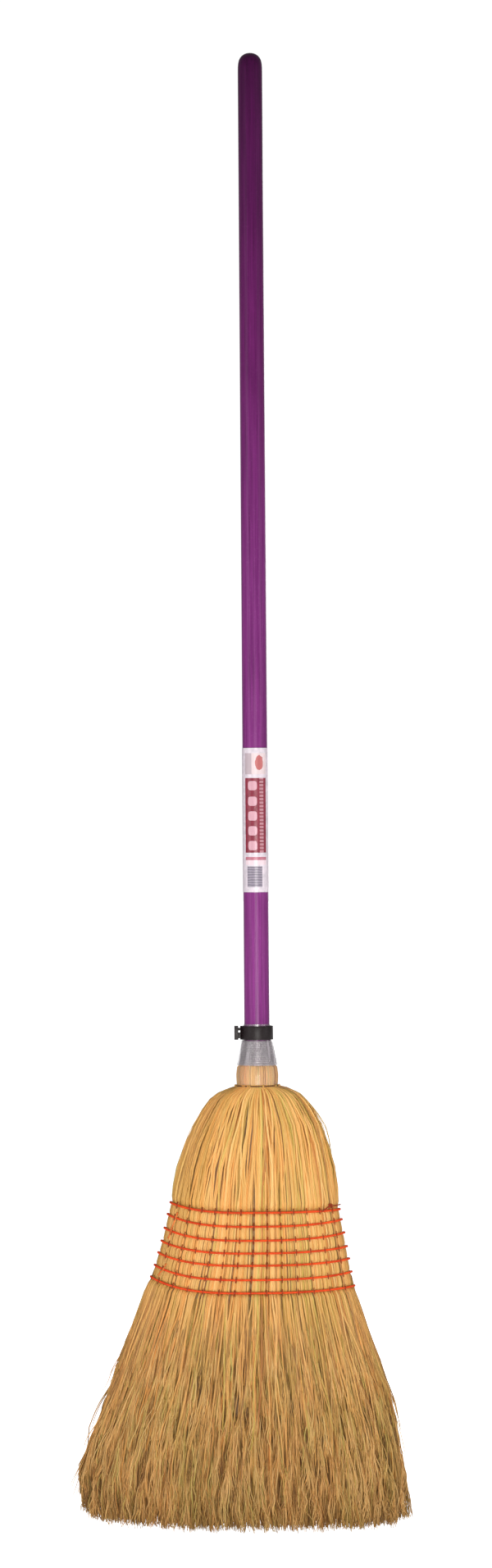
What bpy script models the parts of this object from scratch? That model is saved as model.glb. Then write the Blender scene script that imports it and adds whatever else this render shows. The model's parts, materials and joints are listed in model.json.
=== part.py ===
"""Corn broom: a painted handle, a wired straw head and seven sewn rows of twine.

The broom stands on its straw with +Z up the handle, its width along X and its front facing -Y.
Every dimension below is in millimetres; the shapes are made in metres.
"""

import math

import bmesh
import bpy
from mathutils import Matrix, Vector

MM = 0.001
GAP = 0.3  # clearance between pieces that touch

# Handle: (height, radius) down its outer side, domed top to the tapered end inside the straw
HANDLE_PROFILE = (
    (1405.0, 0.0),
    (1404.5, 3.6),
    (1402.8, 7.0),
    (1399.8, 9.8),
    (1396.4, 11.2),
    (1392.0, 11.6),
    (950.0, 11.8),
    (490.0, 12.05),
    (466.0, 12.0),
    (441.0, 10.4),
    (430.0, 9.8),
    (323.0, 5.0),
    (319.0, 3.4),
    (318.0, 0.0),
)
HANDLE_SIDES = 32

# Wrap-around paper label
LABEL_TOP = 744.0
LABEL_BOTTOM = 607.0
LABEL_INNER = 12.15
LABEL_THICK = 0.25
LABEL_SEAM_DEG = 5.0  # half the open seam at the back
LABEL_FACETS = 30

# Plastic hose clip that clamps the sleeve to the handle
CLIP_TOP = 479.8
CLIP_BOTTOM = 466.8
CLIP_INNER = 13.4
CLIP_OUTER = 15.4
CLIP_MOUTH_DEG = 15.0
JAW_REACH = 21.6
JAW_NEAR = 0.5  # half the space between the toothed jaws
JAW_FAR = 2.6
GRIP_THICK = 3.8
GRIP_FAR = 6.4
JAW_TEETH = 3
TOOTH_DEPTH = 0.9

# Clear sleeve over the wired neck: (height, outer radius)
SLEEVE_PROFILE = (
    (481.6, 13.0),
    (466.6, 13.0),
    (464.6, 15.6),
    (455.0, 17.4),
    (443.0, 19.7),
    (436.0, 20.9),
    (424.5, 21.6),
)
SLEEVE_THICK = 0.6
SLEEVE_SIDES = 32

# Winding wire, its nail and the tie under the sleeve
WIRE_RADIUS = 0.65
WIRE_TOP = 460.3
WIRE_BOTTOM = 443.6
WIRE_TURNS = 8
WIRE_STEPS = 18
NAIL_HEIGHT = 464.0
NAIL_RADIUS = 0.9
NAIL_HEAD_RADIUS = 1.7
TIE_HEIGHT = 423.2
TIE_RADIUS = 0.65
TIE_STEPS = 28

# Straw head: (height, centre x, half width, half thickness, exponent of its outline)
HEAD = (
    (462.0, 0.0, 13.2, 13.2, 2.0),
    (441.7, 0.0, 16.6, 16.6, 2.0),
    (441.0, 0.0, 18.9, 18.9, 2.0),
    (425.2, 0.0, 20.4, 20.4, 2.0),
    (424.6, 0.0, 19.5, 19.5, 2.0),
    (421.8, 0.0, 19.5, 19.5, 2.0),
    (420.4, 1.4, 28.0, 21.5, 2.0),
    (417.0, 1.0, 37.0, 23.5, 2.05),
    (412.0, 0.5, 44.5, 25.0, 2.1),
    (398.0, 0.3, 54.3, 26.5, 2.15),
    (383.0, 0.2, 62.8, 26.5, 2.2),
    (367.0, -1.2, 68.6, 26.0, 2.25),
    (345.0, -2.4, 74.4, 25.0, 2.3),
    (320.0, -3.3, 79.4, 23.8, 2.3),
    (303.0, -4.0, 83.0, 22.8, 2.3),
    (277.0, -4.6, 88.6, 21.8, 2.3),
    (250.0, -6.2, 94.8, 21.0, 2.3),
    (227.0, -8.0, 101.0, 20.5, 2.3),
    (218.0, -8.3, 103.6, 21.0, 2.3),
    (182.0, -9.6, 117.0, 24.0, 2.3),
    (132.0, -10.8, 134.6, 27.5, 2.3),
    (89.0, -15.5, 149.0, 30.5, 2.35),
    (51.0, -19.5, 158.0, 32.5, 2.4),
    (0.0, -20.0, 161.0, 34.0, 2.4),
)
# Wall of the front and back covers: (height, thickness)
COVER_WALL = ((441.0, 3.0), (425.0, 3.0), (398.0, 5.0), (345.0, 6.0), (218.0, 6.0), (0.0, 9.0))
CAVITY_TOP = 431.5  # the covers are solid above this, so the inner bundles end here
CORE_TOP = 430.5
BUNDLE_GAP = 0.9  # clearance between the inner bundles and the covers
SEAM = 0.15  # half the space between the front and back covers at the sides
EDGE = 0.995  # blunt side edge, as a share of the half width
CORE_SHARE = 0.45  # the core's share of the half width in the sewn part
CORE_NECK_HALF = 12.5
SPLIT = 218.7  # below the last row the straw is free and flexes
SPLIT_LIFTS = (15.0, 5.0)

# Sewn rows: (height at the middle, how much higher at the left end, and at the right end)
ROWS = (
    (303.4, 9.2, 1.5),
    (290.2, 11.3, 5.0),
    (276.9, 11.5, 5.8),
    (264.8, 11.4, 4.8),
    (253.1, 12.0, 4.8),
    (239.5, 13.8, 6.0),
    (227.0, 15.2, 5.2),
)
LIFT_POWER = 2.5
PINCH = 2.4  # how deep the binding twine pulls the straw in
BINDING_RADIUS = 1.1
SEWING_RADIUS = 0.75
LINK_RADIUS = 0.6
STITCH_HALF = 3.4  # half the height of a stitch over the binding twine
STITCHES = 13
STITCH_EDGE = 0.9
SLIT_HALF = 0.0125  # half the parting that a stitch opens, as a share of the half width
SLIT_TOP = 318.0
INNER_SLIT_HALF = 0.018  # wider inside, where the twine has more room


def stitch_columns():
    """Where the stitches pass through, as shares of the half width."""
    step = 2 * STITCH_EDGE / (STITCHES - 1)
    return [round(-STITCH_EDGE + step * i, 4) for i in range(STITCHES)]


def look_up(table, height, column=1):
    """Linear reading of a table whose heights run downwards."""
    if height >= table[0][0]:
        return table[0][column]
    for above, below in zip(table, table[1:]):
        if height >= below[0]:
            share = (above[0] - height) / (above[0] - below[0])
            return above[column] + share * (below[column] - above[column])
    return table[-1][column]


def section(height):
    """Centre x, half width, half thickness and exponent of the straw head."""
    return [look_up(HEAD, height, column) for column in (1, 2, 3, 4)]


def depth_at(share, half_thick, power):
    """Half depth of the oval outline at a share of its half width."""
    return half_thick * max(0.0, 1.0 - abs(share) ** power) ** (1.0 / power)


def lifted(height, left, right, share):
    """Height of a level line, which curves up towards both ends."""
    lift = left if share < 0 else right
    return height + lift * abs(share) ** LIFT_POWER


def beyond_stitches(share):
    """0 as far out as the last stitch, rising to 1 at the blunt side edge."""
    return max(0.0, (abs(share) - STITCH_EDGE) / (EDGE - STITCH_EDGE))


def cover_outer(share, height, pinch=0.0):
    """(x, half depth) on the outside of the straw head."""
    centre, half_width, half_thick, power = section(height)
    out = beyond_stitches(share)
    x = centre + half_width * share - math.copysign(pinch * out, share)
    return x, depth_at(share, half_thick, power) - pinch * (1.0 - 0.6 * out)


def cover_inner(share, height):
    """Half depth of the space inside the covers at a share of the outer half width."""
    if height > CAVITY_TOP:
        return 0.0
    _, half_width, half_thick, power = section(height)
    wall = look_up(COVER_WALL, height)
    inner_share = abs(share) * half_width / (half_width - wall)
    return depth_at(min(inner_share, 1.0), half_thick - wall, power)


def material(name, colour, roughness, metallic=0.0, alpha=1.0):
    """A plain material for one piece."""
    made = bpy.data.materials.new(name)
    made.use_nodes = True
    shader = made.node_tree.nodes["Principled BSDF"]
    shader.inputs["Base Color"].default_value = (*colour, 1.0)
    shader.inputs["Roughness"].default_value = roughness
    shader.inputs["Metallic"].default_value = metallic
    shader.inputs["Alpha"].default_value = alpha
    made.diffuse_color = (*colour, alpha)
    return made


def add_piece(name, mesh, look, origin=(0.0, 0.0, 0.0), smooth=False):
    """Makes the object of one piece, its origin at a place given in millimetres."""
    bmesh.ops.remove_doubles(mesh, verts=mesh.verts, dist=1e-7)
    bmesh.ops.translate(mesh, verts=mesh.verts, vec=-Vector(origin) * MM)
    bmesh.ops.recalc_face_normals(mesh, faces=mesh.faces)
    data = bpy.data.meshes.new(name)
    for face in mesh.faces:
        face.smooth = smooth
    mesh.to_mesh(data)
    mesh.free()
    data.materials.append(look)
    piece = bpy.data.objects.new(name, data)
    piece.location = Vector(origin) * MM
    bpy.context.scene.collection.objects.link(piece)
    return piece


def cut(piece, cutters):
    """Cuts each cutter out of the piece."""
    for cutter in cutters:
        step = piece.modifiers.new("cut_" + cutter.name, "BOOLEAN")
        step.operation = "DIFFERENCE"
        step.solver = "EXACT"
        step.object = cutter
        cutter.hide_render = True
        cutter.display_type = "WIRE"


def lathe(profile, sides):
    """Turns a profile of (height, radius) points about the Z axis."""
    mesh = bmesh.new()
    points = [mesh.verts.new((radius * MM, 0.0, height * MM)) for height, radius in profile]
    closed = profile[0][1] > 0
    pairs = list(zip(points, points[1:])) + ([(points[-1], points[0])] if closed else [])
    edges = [mesh.edges.new(pair) for pair in pairs]
    bmesh.ops.spin(
        mesh,
        geom=points + edges,
        axis=(0, 0, 1),
        cent=(0, 0, 0),
        angle=math.tau,
        steps=sides,
        use_merge=True,
    )
    bmesh.ops.remove_doubles(mesh, verts=mesh.verts, dist=1e-6)
    return mesh


def sweep(path, radius, sides=4, closed=False):
    """A tube along a path in millimetres, mitred at each corner."""
    points = [Vector(point) for point in path]
    count = len(points)
    runs = [(points[(i + 1) % count] - points[i]).normalized() for i in range(count)]
    if not closed:
        runs[-1] = runs[-2]
    first_in = runs[-1] if closed else runs[0]
    helper = Vector((0, 0, 1)) if abs(runs[0].z) < 0.9 else Vector((0, 1, 0))
    side_way = first_in.cross(helper).normalized()
    other_way = first_in.cross(side_way)
    spokes = []
    for i in range(sides):
        turn = math.tau * (i + 0.5) / sides
        spokes.append(radius * (math.cos(turn) * side_way + math.sin(turn) * other_way))
    mesh = bmesh.new()
    rings = []
    run_in = first_in
    for point, run_out in zip(points, runs):
        plane = (run_in + run_out).normalized()
        ring = []
        for i, spoke in enumerate(spokes):
            corner = spoke - run_in * (spoke.dot(plane) / run_in.dot(plane))
            ring.append(mesh.verts.new((point + corner) * MM))
            spokes[i] = corner - run_out * corner.dot(run_out)
        rings.append(ring)
        run_in = run_out
    for i in range(count if closed else count - 1):
        near, far = rings[i], rings[(i + 1) % count]
        for k in range(sides):
            after = (k + 1) % sides
            mesh.faces.new((near[k], near[after], far[after], far[k]))
    if not closed:
        mesh.faces.new(rings[0])
        mesh.faces.new(list(reversed(rings[-1])))
    return mesh


def box(low, high):
    """A box between two corners in millimetres."""
    mesh = bmesh.new()
    bmesh.ops.create_cube(mesh, size=1.0)
    size = Vector(high) - Vector(low)
    middle = (Vector(high) + Vector(low)) / 2
    bmesh.ops.scale(mesh, verts=mesh.verts, vec=size * MM)
    bmesh.ops.translate(mesh, verts=mesh.verts, vec=middle * MM)
    return mesh


def extrude_outline(outline, bottom, top):
    """A flat outline of (x, y) points raised between two heights."""
    mesh = bmesh.new()
    floor = mesh.faces.new([mesh.verts.new((x * MM, y * MM, bottom * MM)) for x, y in outline])
    made = bmesh.ops.extrude_face_region(mesh, geom=[floor])
    upper = [item for item in made["geom"] if isinstance(item, bmesh.types.BMVert)]
    bmesh.ops.translate(mesh, verts=upper, vec=(0, 0, (top - bottom) * MM))
    return mesh


def slab(strips, levels, place):
    """A closed body between a near and a far surface, parted into strips lower down.

    Args:
        strips: for each strip, its shares of the half width from left to right.
        levels: for each level downwards, half the parting between two strips, as a share.
        place: gives the (x, y, z) of a share, a level number and a side, 0 near or 1 far.
    """
    mesh = bmesh.new()
    made = {}

    def vertex(share, level, side):
        key = (round(share, 6), level, side)
        if key not in made:
            made[key] = mesh.verts.new(Vector(place(share, level, side)) * MM)
        return made[key]

    def shares_at(number, level):
        shares = list(strips[number])
        if number > 0:
            shares[0] += levels[level]
        if number < len(strips) - 1:
            shares[-1] -= levels[level]
        return shares

    last = len(levels) - 1
    for number in range(len(strips)):
        for level in range(last):
            above = shares_at(number, level)
            below = shares_at(number, level + 1)
            for k in range(len(above) - 1):
                for side in (0, 1):
                    mesh.faces.new(
                        (
                            vertex(above[k], level, side),
                            vertex(above[k + 1], level, side),
                            vertex(below[k + 1], level + 1, side),
                            vertex(below[k], level + 1, side),
                        )
                    )
            parted = levels[level + 1] > 0
            walls = []
            if number == 0 or parted:
                walls.append(0)
            if number == len(strips) - 1 or parted:
                walls.append(-1)
            for k in walls:
                mesh.faces.new(
                    (
                        vertex(above[k], level, 0),
                        vertex(above[k], level, 1),
                        vertex(below[k], level + 1, 1),
                        vertex(below[k], level + 1, 0),
                    )
                )
        for level in (0, last):
            shares = shares_at(number, level)
            for k in range(len(shares) - 1):
                mesh.faces.new(
                    (
                        vertex(shares[k], level, 0),
                        vertex(shares[k + 1], level, 0),
                        vertex(shares[k + 1], level, 1),
                        vertex(shares[k], level, 1),
                    )
                )
    return mesh


def row_levels():
    """The levels of the sewn part: (height, left lift, right lift, pinch), pinched at each row."""
    levels = []
    for number, row in enumerate(ROWS):
        levels.append((*row, PINCH))
        if number < len(ROWS) - 1:
            below = ROWS[number + 1]
            levels.append((*[(a + b) / 2 for a, b in zip(row, below)], 0.0))
    levels.append((SPLIT + GAP / 2, *SPLIT_LIFTS, 0.0))
    return levels


def make_cover(name, facing, look, cutters):
    """One outer layer of straw over half the head, from under the wire to below the last row."""
    heights = (462.0, 441.7, 441.0, 437.0, 431.4, 425.2, 424.6, 421.8, 420.4, 417.0, 412.0)
    heights += (398.0, 383.0, 367.0, 345.0, 330.0)
    levels = [(height, 0.0, 0.0, 0.0) for height in heights]
    levels.append((SLIT_TOP, 6.0, 0.8, 0.0))
    partings = [0.0] * len(levels)
    levels.append((310.0, 8.5, 1.3, 0.0))
    levels += row_levels()
    partings += [SLIT_HALF] * (len(levels) - len(partings))

    def place(share, level, side):
        height, left, right, pinch = levels[level]
        z = lifted(height, left, right, share)
        x, outer = cover_outer(share, z, pinch)
        return x, facing * (outer if side else max(cover_inner(share, z), SEAM)), z

    columns = stitch_columns()
    strips = [[-EDGE, -0.96, columns[0]]]
    strips += [[a, b] for a, b in zip(columns, columns[1:])]
    strips += [[columns[-1], 0.96, EDGE]]
    cut(add_piece(name, slab(strips, partings, place), look), cutters)


def inner_shares(share, height):
    """x and half depth for the inner bundles, which crowd to the sides of the handle at the neck."""
    centre, half_width, half_thick, power = section(height)
    wall = look_up(COVER_WALL, height)
    neck = min(max((height - 345.0) / (CORE_TOP - 345.0), 0.0), 1.0)
    space = wall + BUNDLE_GAP * (1.0 + neck)
    inner_half = half_width - space
    core_edge = CORE_SHARE + (CORE_NECK_HALF / half_width - CORE_SHARE) * neck
    far_edge = STITCH_EDGE + (0.94 * inner_half / half_width - STITCH_EDGE) * neck
    if abs(share) <= CORE_SHARE:
        placed = share * core_edge / CORE_SHARE
    else:
        along = (abs(share) - CORE_SHARE) / (STITCH_EDGE - CORE_SHARE)
        placed = math.copysign(core_edge + along * (far_edge - core_edge), share)
    placed += math.copysign(0.5 * GAP / half_width * neck, share) if share else 0.0
    across = min(abs(placed) * half_width / inner_half, 1.0)
    return centre + half_width * placed, depth_at(across, half_thick - space, power)


def make_bundle(name, columns, look, cutters=(), ends=(CORE_TOP, SPLIT + GAP / 2)):
    """One inner bundle of straw, parted at the stitches that pass through it."""
    levels = [(height, 0.0, 0.0) for height in (ends[0], 424.9, 421.8, 420.4, 412.0)]
    levels += [(height, 0.0, 0.0) for height in (398.0, 372.0, 345.0)]
    levels.append((SLIT_TOP, 6.0, 0.8))
    partings = [0.0] * len(levels)
    levels += [(310.0, 8.5, 1.3), (283.0, 11.4, 4.8), (253.1, 12.0, 4.8), (ends[1], *SPLIT_LIFTS)]
    partings += [INNER_SLIT_HALF] * (len(levels) - len(partings))

    def place(share, level, side):
        height, left, right = levels[level]
        z = lifted(height, left, right, share)
        edge = share
        if share == columns[0]:
            edge += INNER_SLIT_HALF
        if share == columns[-1]:
            edge -= INNER_SLIT_HALF
        x, half = inner_shares(edge, z)
        return x, half if side else -half, z

    strips = [[a, b] for a, b in zip(columns, columns[1:])]
    cut(add_piece(name, slab(strips, partings, place), look), cutters)


def bottom_height(share):
    """The cut end of the straw: flat for most of its width, and shorter at both corners."""
    if share < -0.62:
        return 30.0 * ((-0.62 - share) / 0.375) ** 1.6
    if share > 0.88:
        return 12.0 * ((share - 0.88) / 0.115) ** 1.4
    return 0.0


def make_skirt(name, shares, look, near, far):
    """One free bundle below the last row; near and far give its depths at a share and height."""
    fractions = (0.0, 0.17, 0.39, 0.6, 0.78, 0.92, 1.0)

    def place(share, level, side):
        top = lifted(SPLIT - GAP / 2, *SPLIT_LIFTS, share)
        z = top + (bottom_height(share) - top) * fractions[level]
        centre, half_width, _, _ = section(z)
        return centre + half_width * share, (far if side else near)(share, z), z

    add_piece(name, slab([shares], [0.0] * len(fractions), place), look, (0, 0, SPLIT))


def make_skirts(looks):
    """The free straw below the last row, on the same five bundles as the sewn part."""
    shares = [-EDGE, -0.96, -0.9, -0.8, -0.62, -0.45, -0.22, 0.0, 0.22, 0.45, 0.7, 0.88, 0.96, EDGE]

    def outer(share, z):
        return cover_outer(share, z)[1]

    def inner(share, z):
        return max(cover_inner(share, z), SEAM)

    def bundle(share, z):
        _, half_width, half_thick, power = section(z)
        wall = look_up(COVER_WALL, z) + BUNDLE_GAP
        across = min(abs(share) * half_width / (half_width - wall), 1.0)
        return depth_at(across, half_thick - wall, power)

    make_skirt(
        "skirt_cover_front",
        shares,
        looks["cover_front"],
        lambda share, z: -inner(share, z),
        lambda share, z: -outer(share, z),
    )
    make_skirt("skirt_cover_back", shares, looks["cover_back"], inner, outer)
    for name, ends in (
        ("left", (-0.9, -0.8, -0.62, -0.452)),
        ("core", (-0.448, -0.22, 0.0, 0.22, 0.448)),
        ("right", (0.452, 0.7, 0.88)),
    ):
        make_skirt(
            "skirt_" + name,
            list(ends),
            looks[name],
            lambda share, z: -bundle(share, z),
            bundle,
        )


def outline_at(level, out):
    """Points round the head at a level, moved outwards, keyed by (share, side)."""
    height, left, right, pinch = level
    shares = [-EDGE, -0.96, *stitch_columns(), 0.96, EDGE]
    keys = [(share, -1) for share in shares] + [(share, 1) for share in reversed(shares)]
    flat = []
    for share, side in keys:
        x, half = cover_outer(share, lifted(height, left, right, share), pinch)
        flat.append(Vector((x, side * half)))
    placed = {}
    for i, key in enumerate(keys):
        before = (flat[i] - flat[i - 1]).normalized()
        after = (flat[(i + 1) % len(flat)] - flat[i]).normalized()
        one = Vector((before.y, -before.x))
        two = Vector((after.y, -after.x))
        moved = flat[i] + out * (one + two) / (1.0 + one.dot(two))
        placed[key] = Vector((moved.x, moved.y, lifted(height, left, right, key[0])))
    return placed


def depth_on(outline, x, side):
    """y where the near (-1) or far (1) side of an outline passes a given x."""
    points = sorted((p.x, p.y) for key, p in outline.items() if key[1] == side)
    for (x1, y1), (x2, y2) in zip(points, points[1:]):
        if x <= x2:
            return y1 + (y2 - y1) * (x - x1) / (x2 - x1)
    return points[-1][1]


def make_twine(bind_look, sew_look):
    """The binding twine of each row and the sewing twine that stitches it down."""
    seat = GAP + BINDING_RADIUS + 0.25
    over = seat + BINDING_RADIUS + GAP + SEWING_RADIUS + 0.1
    for number, row in enumerate(ROWS):
        loop = list(outline_at((*row, PINCH), seat).values())
        binding = sweep(loop, BINDING_RADIUS, closed=True)
        add_piece(f"binding_twine_{number + 1}", binding, bind_look)
        outside = outline_at((*row, PINCH), over)
        path = []
        for share in stitch_columns():
            middle = lifted(*row, share)
            low, high = middle - STITCH_HALF, middle + STITCH_HALF
            for side, height in ((1, low), (-1, low), (-1, high), (1, high)):
                x = cover_outer(share, height)[0]
                path.append((x, depth_on(outside, x, side), height))
        add_piece(f"sewing_twine_{number + 1}", sweep(path, SEWING_RADIUS), sew_look)


def make_links(look):
    """Twine carried down the left edge between rows, its ends tucked into the stitch holes."""
    over_row = GAP + 2 * BINDING_RADIUS + GAP + LINK_RADIUS + 0.45
    over_straw = GAP + LINK_RADIUS + 0.3
    for name, first, last in (("upper", 0, 3), ("lower", 4, 6)):
        path = []
        for number in range(first, last):
            if number > first:
                outside = outline_at((*ROWS[number], PINCH), over_row)
                path.append(outside[(-STITCH_EDGE, -1)].lerp(outside[(-0.96, -1)], 0.9))
            between = [(a + b) / 2 for a, b in zip(ROWS[number], ROWS[number + 1])]
            outside = outline_at((*between, 0.0), over_straw)
            path.append(outside[(-STITCH_EDGE, -1)].lerp(outside[(-0.96, -1)], 0.9))
            if number in (first, last - 1):
                z = lifted(*between, -STITCH_EDGE)
                x = cover_outer(-STITCH_EDGE, z)[0]
                path[-1] = Vector((x, depth_on(outside, x, -1), z))
        inwards = Vector((0, 8.0, 0))
        path = [path[0] + inwards, *path, path[-1] + inwards]
        add_piece(f"link_twine_{name}", sweep(path, LINK_RADIUS), look)


def make_knot(look):
    """The tied end of the sewing twine above the first row, with two short tails."""
    size = 1.45
    path = []
    for i in range(27):
        turn = math.radians(15) + math.radians(330) * i / 26
        path.append(
            Vector(
                (
                    size * (math.sin(turn) + 2 * math.sin(2 * turn)),
                    -1.5 * math.sin(3 * turn),
                    size * (math.cos(turn) - 2 * math.cos(2 * turn)),
                )
            )
        )
    share = 0.82
    z = lifted(ROWS[0][0], ROWS[0][1], ROWS[0][2], share) + 8.6
    x, half = cover_outer(share, z)
    middle = Vector((x, -half - 3.4, z))
    start = path[0] + Vector((6.5, -0.9, 1.4))
    end = path[-1] + Vector((-5.5, -0.9, -1.0))
    path = [middle + point for point in (start, *path, end)]
    add_piece("twine_knot", sweep(path, 0.6), look)


def make_handle(look):
    """The turned stick, with a blind hole for the nail."""
    hole = bmesh.new()
    bmesh.ops.create_cone(
        hole,
        cap_ends=True,
        segments=12,
        radius1=(NAIL_RADIUS + GAP) * MM,
        radius2=(NAIL_RADIUS + GAP) * MM,
        depth=10.0 * MM,
        matrix=Matrix.Translation(Vector((0, 9.0, NAIL_HEIGHT)) * MM)
        @ Matrix.Rotation(math.pi / 2, 4, "X"),
    )
    handle = add_piece("handle", lathe(HANDLE_PROFILE, HANDLE_SIDES), look, smooth=True)
    cut(handle, [add_piece("nail_hole", hole, look)])


def make_nail(look):
    """The nail that holds the end of the winding wire on the handle."""
    mesh = lathe(
        (
            (13.3, 0.0),
            (13.3, NAIL_HEAD_RADIUS),
            (12.5, NAIL_HEAD_RADIUS),
            (12.5, NAIL_RADIUS),
            (5.6, NAIL_RADIUS),
            (4.6, 0.0),
        ),
        10,
    )
    turn = Matrix.Rotation(-math.pi / 2, 4, "X")
    bmesh.ops.transform(mesh, matrix=turn, verts=mesh.verts)
    bmesh.ops.translate(mesh, verts=mesh.verts, vec=(0, 0, NAIL_HEIGHT * MM))
    add_piece("wire_nail", mesh, look)


def make_label(look):
    """The paper label, wrapped round with its seam at the back."""
    start = math.radians(90 + LABEL_SEAM_DEG)
    span = math.radians(360 - 2 * LABEL_SEAM_DEG)

    def place(share, level, side):
        turn = start + span * share
        radius = LABEL_INNER + (LABEL_THICK if side else 0.0)
        height = (LABEL_TOP, LABEL_BOTTOM)[level]
        return radius * math.cos(turn), radius * math.sin(turn), height

    shares = [i / LABEL_FACETS for i in range(LABEL_FACETS + 1)]
    add_piece("label", slab([shares], [0.0, 0.0], place), look, smooth=False)


def clip_outline():
    """Plan of the hose clip: a ring open at the left, its ends turned out as toothed jaws."""
    half_mouth = math.radians(CLIP_MOUTH_DEG)
    steps = 26
    span = math.tau - 2 * half_mouth
    turns = [math.pi + half_mouth + span * i / steps for i in range(steps + 1)]
    outer = [(CLIP_OUTER * math.cos(t), CLIP_OUTER * math.sin(t)) for t in turns]
    inner = [(CLIP_INNER * math.cos(t), CLIP_INNER * math.sin(t)) for t in turns]
    root = -CLIP_INNER
    pitch = (JAW_REACH + root - 1.6) / JAW_TEETH

    def jaw(way, bite):
        """Points from the inner ring end out along the teeth and back to the outer ring."""
        points = [(root - 0.2, way * (JAW_NEAR + 0.1))]
        for i in range(JAW_TEETH):
            start = root - 0.8 - pitch * i
            points.append((start, way * JAW_NEAR - bite * TOOTH_DEPTH / 2))
            points.append((start - 0.55 * pitch, way * JAW_NEAR + bite * TOOTH_DEPTH / 2))
        points.append((-JAW_REACH, way * JAW_NEAR))
        points.append((-JAW_REACH, way * GRIP_FAR))
        points.append((-JAW_REACH + GRIP_THICK, way * GRIP_FAR))
        points.append((-JAW_REACH + GRIP_THICK, way * JAW_FAR))
        points.append((-CLIP_OUTER - 0.1, way * JAW_FAR))
        return points

    front = jaw(-1, 1)
    back = jaw(1, 1)
    return outer[1:-1] + back[::-1] + inner[::-1][1:-1] + front


def make_clip(look):
    """The hose clip: full height at the ring and the grips, lower between them."""
    mesh = extrude_outline(clip_outline(), CLIP_BOTTOM, CLIP_TOP)
    clip = add_piece("hose_clip", mesh, look)
    near, far = -JAW_REACH + GRIP_THICK, -CLIP_OUTER - 0.6
    middle = (CLIP_TOP + CLIP_BOTTOM) / 2
    cutters = []
    for name, low, high in (
        ("notch_top", CLIP_TOP - 1.8, CLIP_TOP + 1.0),
        ("notch_bottom", CLIP_BOTTOM - 1.0, CLIP_BOTTOM + 1.2),
        ("notch_window", middle + 0.2, middle + 2.2),
    ):
        cutters.append(add_piece(name, box((near, -8, low), (far, 8, high)), look))
    cut(clip, cutters)


def make_sleeve(look):
    """The clear sleeve that the clip clamps at its top."""
    outside = list(SLEEVE_PROFILE)
    inside = [(height, radius - SLEEVE_THICK) for height, radius in reversed(outside)]
    add_piece("neck_sleeve", lathe(outside + inside, SLEEVE_SIDES), look, smooth=True)


def make_wire(wire_look, tie_look):
    """The wire wound round the straw ends, and the tie below the sleeve."""
    path = []
    for i in range(WIRE_TURNS * WIRE_STEPS + 1):
        share = i / (WIRE_TURNS * WIRE_STEPS)
        turn = math.tau * i / WIRE_STEPS
        height = WIRE_TOP + (WIRE_BOTTOM - WIRE_TOP) * share
        radius = look_up(HEAD, height, 2) + GAP + WIRE_RADIUS + 0.35
        path.append((radius * math.cos(turn), radius * math.sin(turn), height))
    add_piece("winding_wire", sweep(path, WIRE_RADIUS), wire_look)
    ring = look_up(HEAD, TIE_HEIGHT, 2) + GAP + TIE_RADIUS + 0.15
    loop = []
    for i in range(TIE_STEPS):
        turn = math.tau * i / TIE_STEPS
        loop.append((ring * math.cos(turn), ring * math.sin(turn), TIE_HEIGHT))
    add_piece("neck_tie", sweep(loop, TIE_RADIUS, closed=True), tie_look)


def main():
    for item in list(bpy.data.objects):
        bpy.data.objects.remove(item, do_unlink=True)
    orange = material("orange_twine", (0.80, 0.13, 0.03), 0.7)
    stitch = material("dark_orange_twine", (0.62, 0.09, 0.02), 0.75)
    make_handle(material("purple_paint", (0.16, 0.02, 0.15), 0.3))
    make_label(material("printed_paper", (0.85, 0.82, 0.84), 0.5))
    make_clip(material("black_nylon", (0.02, 0.02, 0.02), 0.45))
    make_sleeve(material("clear_vinyl", (0.86, 0.85, 0.88), 0.15, alpha=0.35))
    steel = material("galvanised_steel", (0.60, 0.59, 0.61), 0.4, 1.0)
    make_nail(steel)
    make_wire(steel, material("brown_twine", (0.22, 0.11, 0.05), 0.8))

    clearance = [(height, radius + GAP) for height, radius in HANDLE_PROFILE[8:-2]]
    clearance = [(475.0, 0.0), (475.0, 12.3), *clearance, (317.5, 4.5), (317.5, 0.0)]
    handle_room = add_piece("handle_room", lathe(clearance, HANDLE_SIDES), steel)
    looks = {
        "cover_front": material("golden_straw", (0.74, 0.48, 0.19), 0.65),
        "cover_back": material("golden_straw_back", (0.72, 0.46, 0.18), 0.65),
        "core": material("core_straw", (0.62, 0.42, 0.17), 0.75),
        "left": material("left_shoulder_straw", (0.66, 0.44, 0.17), 0.75),
        "right": material("right_shoulder_straw", (0.66, 0.44, 0.17), 0.75),
    }
    make_cover("straw_cover_front", -1, looks["cover_front"], [handle_room])
    make_cover("straw_cover_back", 1, looks["cover_back"], [handle_room])
    columns = stitch_columns()
    core = [share for share in columns if abs(share) <= CORE_SHARE + 0.01]
    make_bundle("straw_core", core, looks["core"], [handle_room])
    make_bundle("straw_left", [s for s in columns if s <= -CORE_SHARE + 0.01], looks["left"])
    make_bundle("straw_right", [s for s in columns if s >= CORE_SHARE - 0.01], looks["right"])
    make_skirts(looks)
    make_twine(orange, stitch)
    make_links(stitch)
    make_knot(stitch)


main()
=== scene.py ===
"""Looks of a corn broom: lacquered handle, printed label, wired neck, sewn straw head.

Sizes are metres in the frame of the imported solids: +Z up the handle, X across the head, the front
facing -Y. Heights inside the tables of the straw head are millimetres, as a broom maker would note
them, and are turned into metres where they are used.
"""

import enum
import json
import logging
import math
import random
from dataclasses import dataclass
from typing import Sequence

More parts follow.
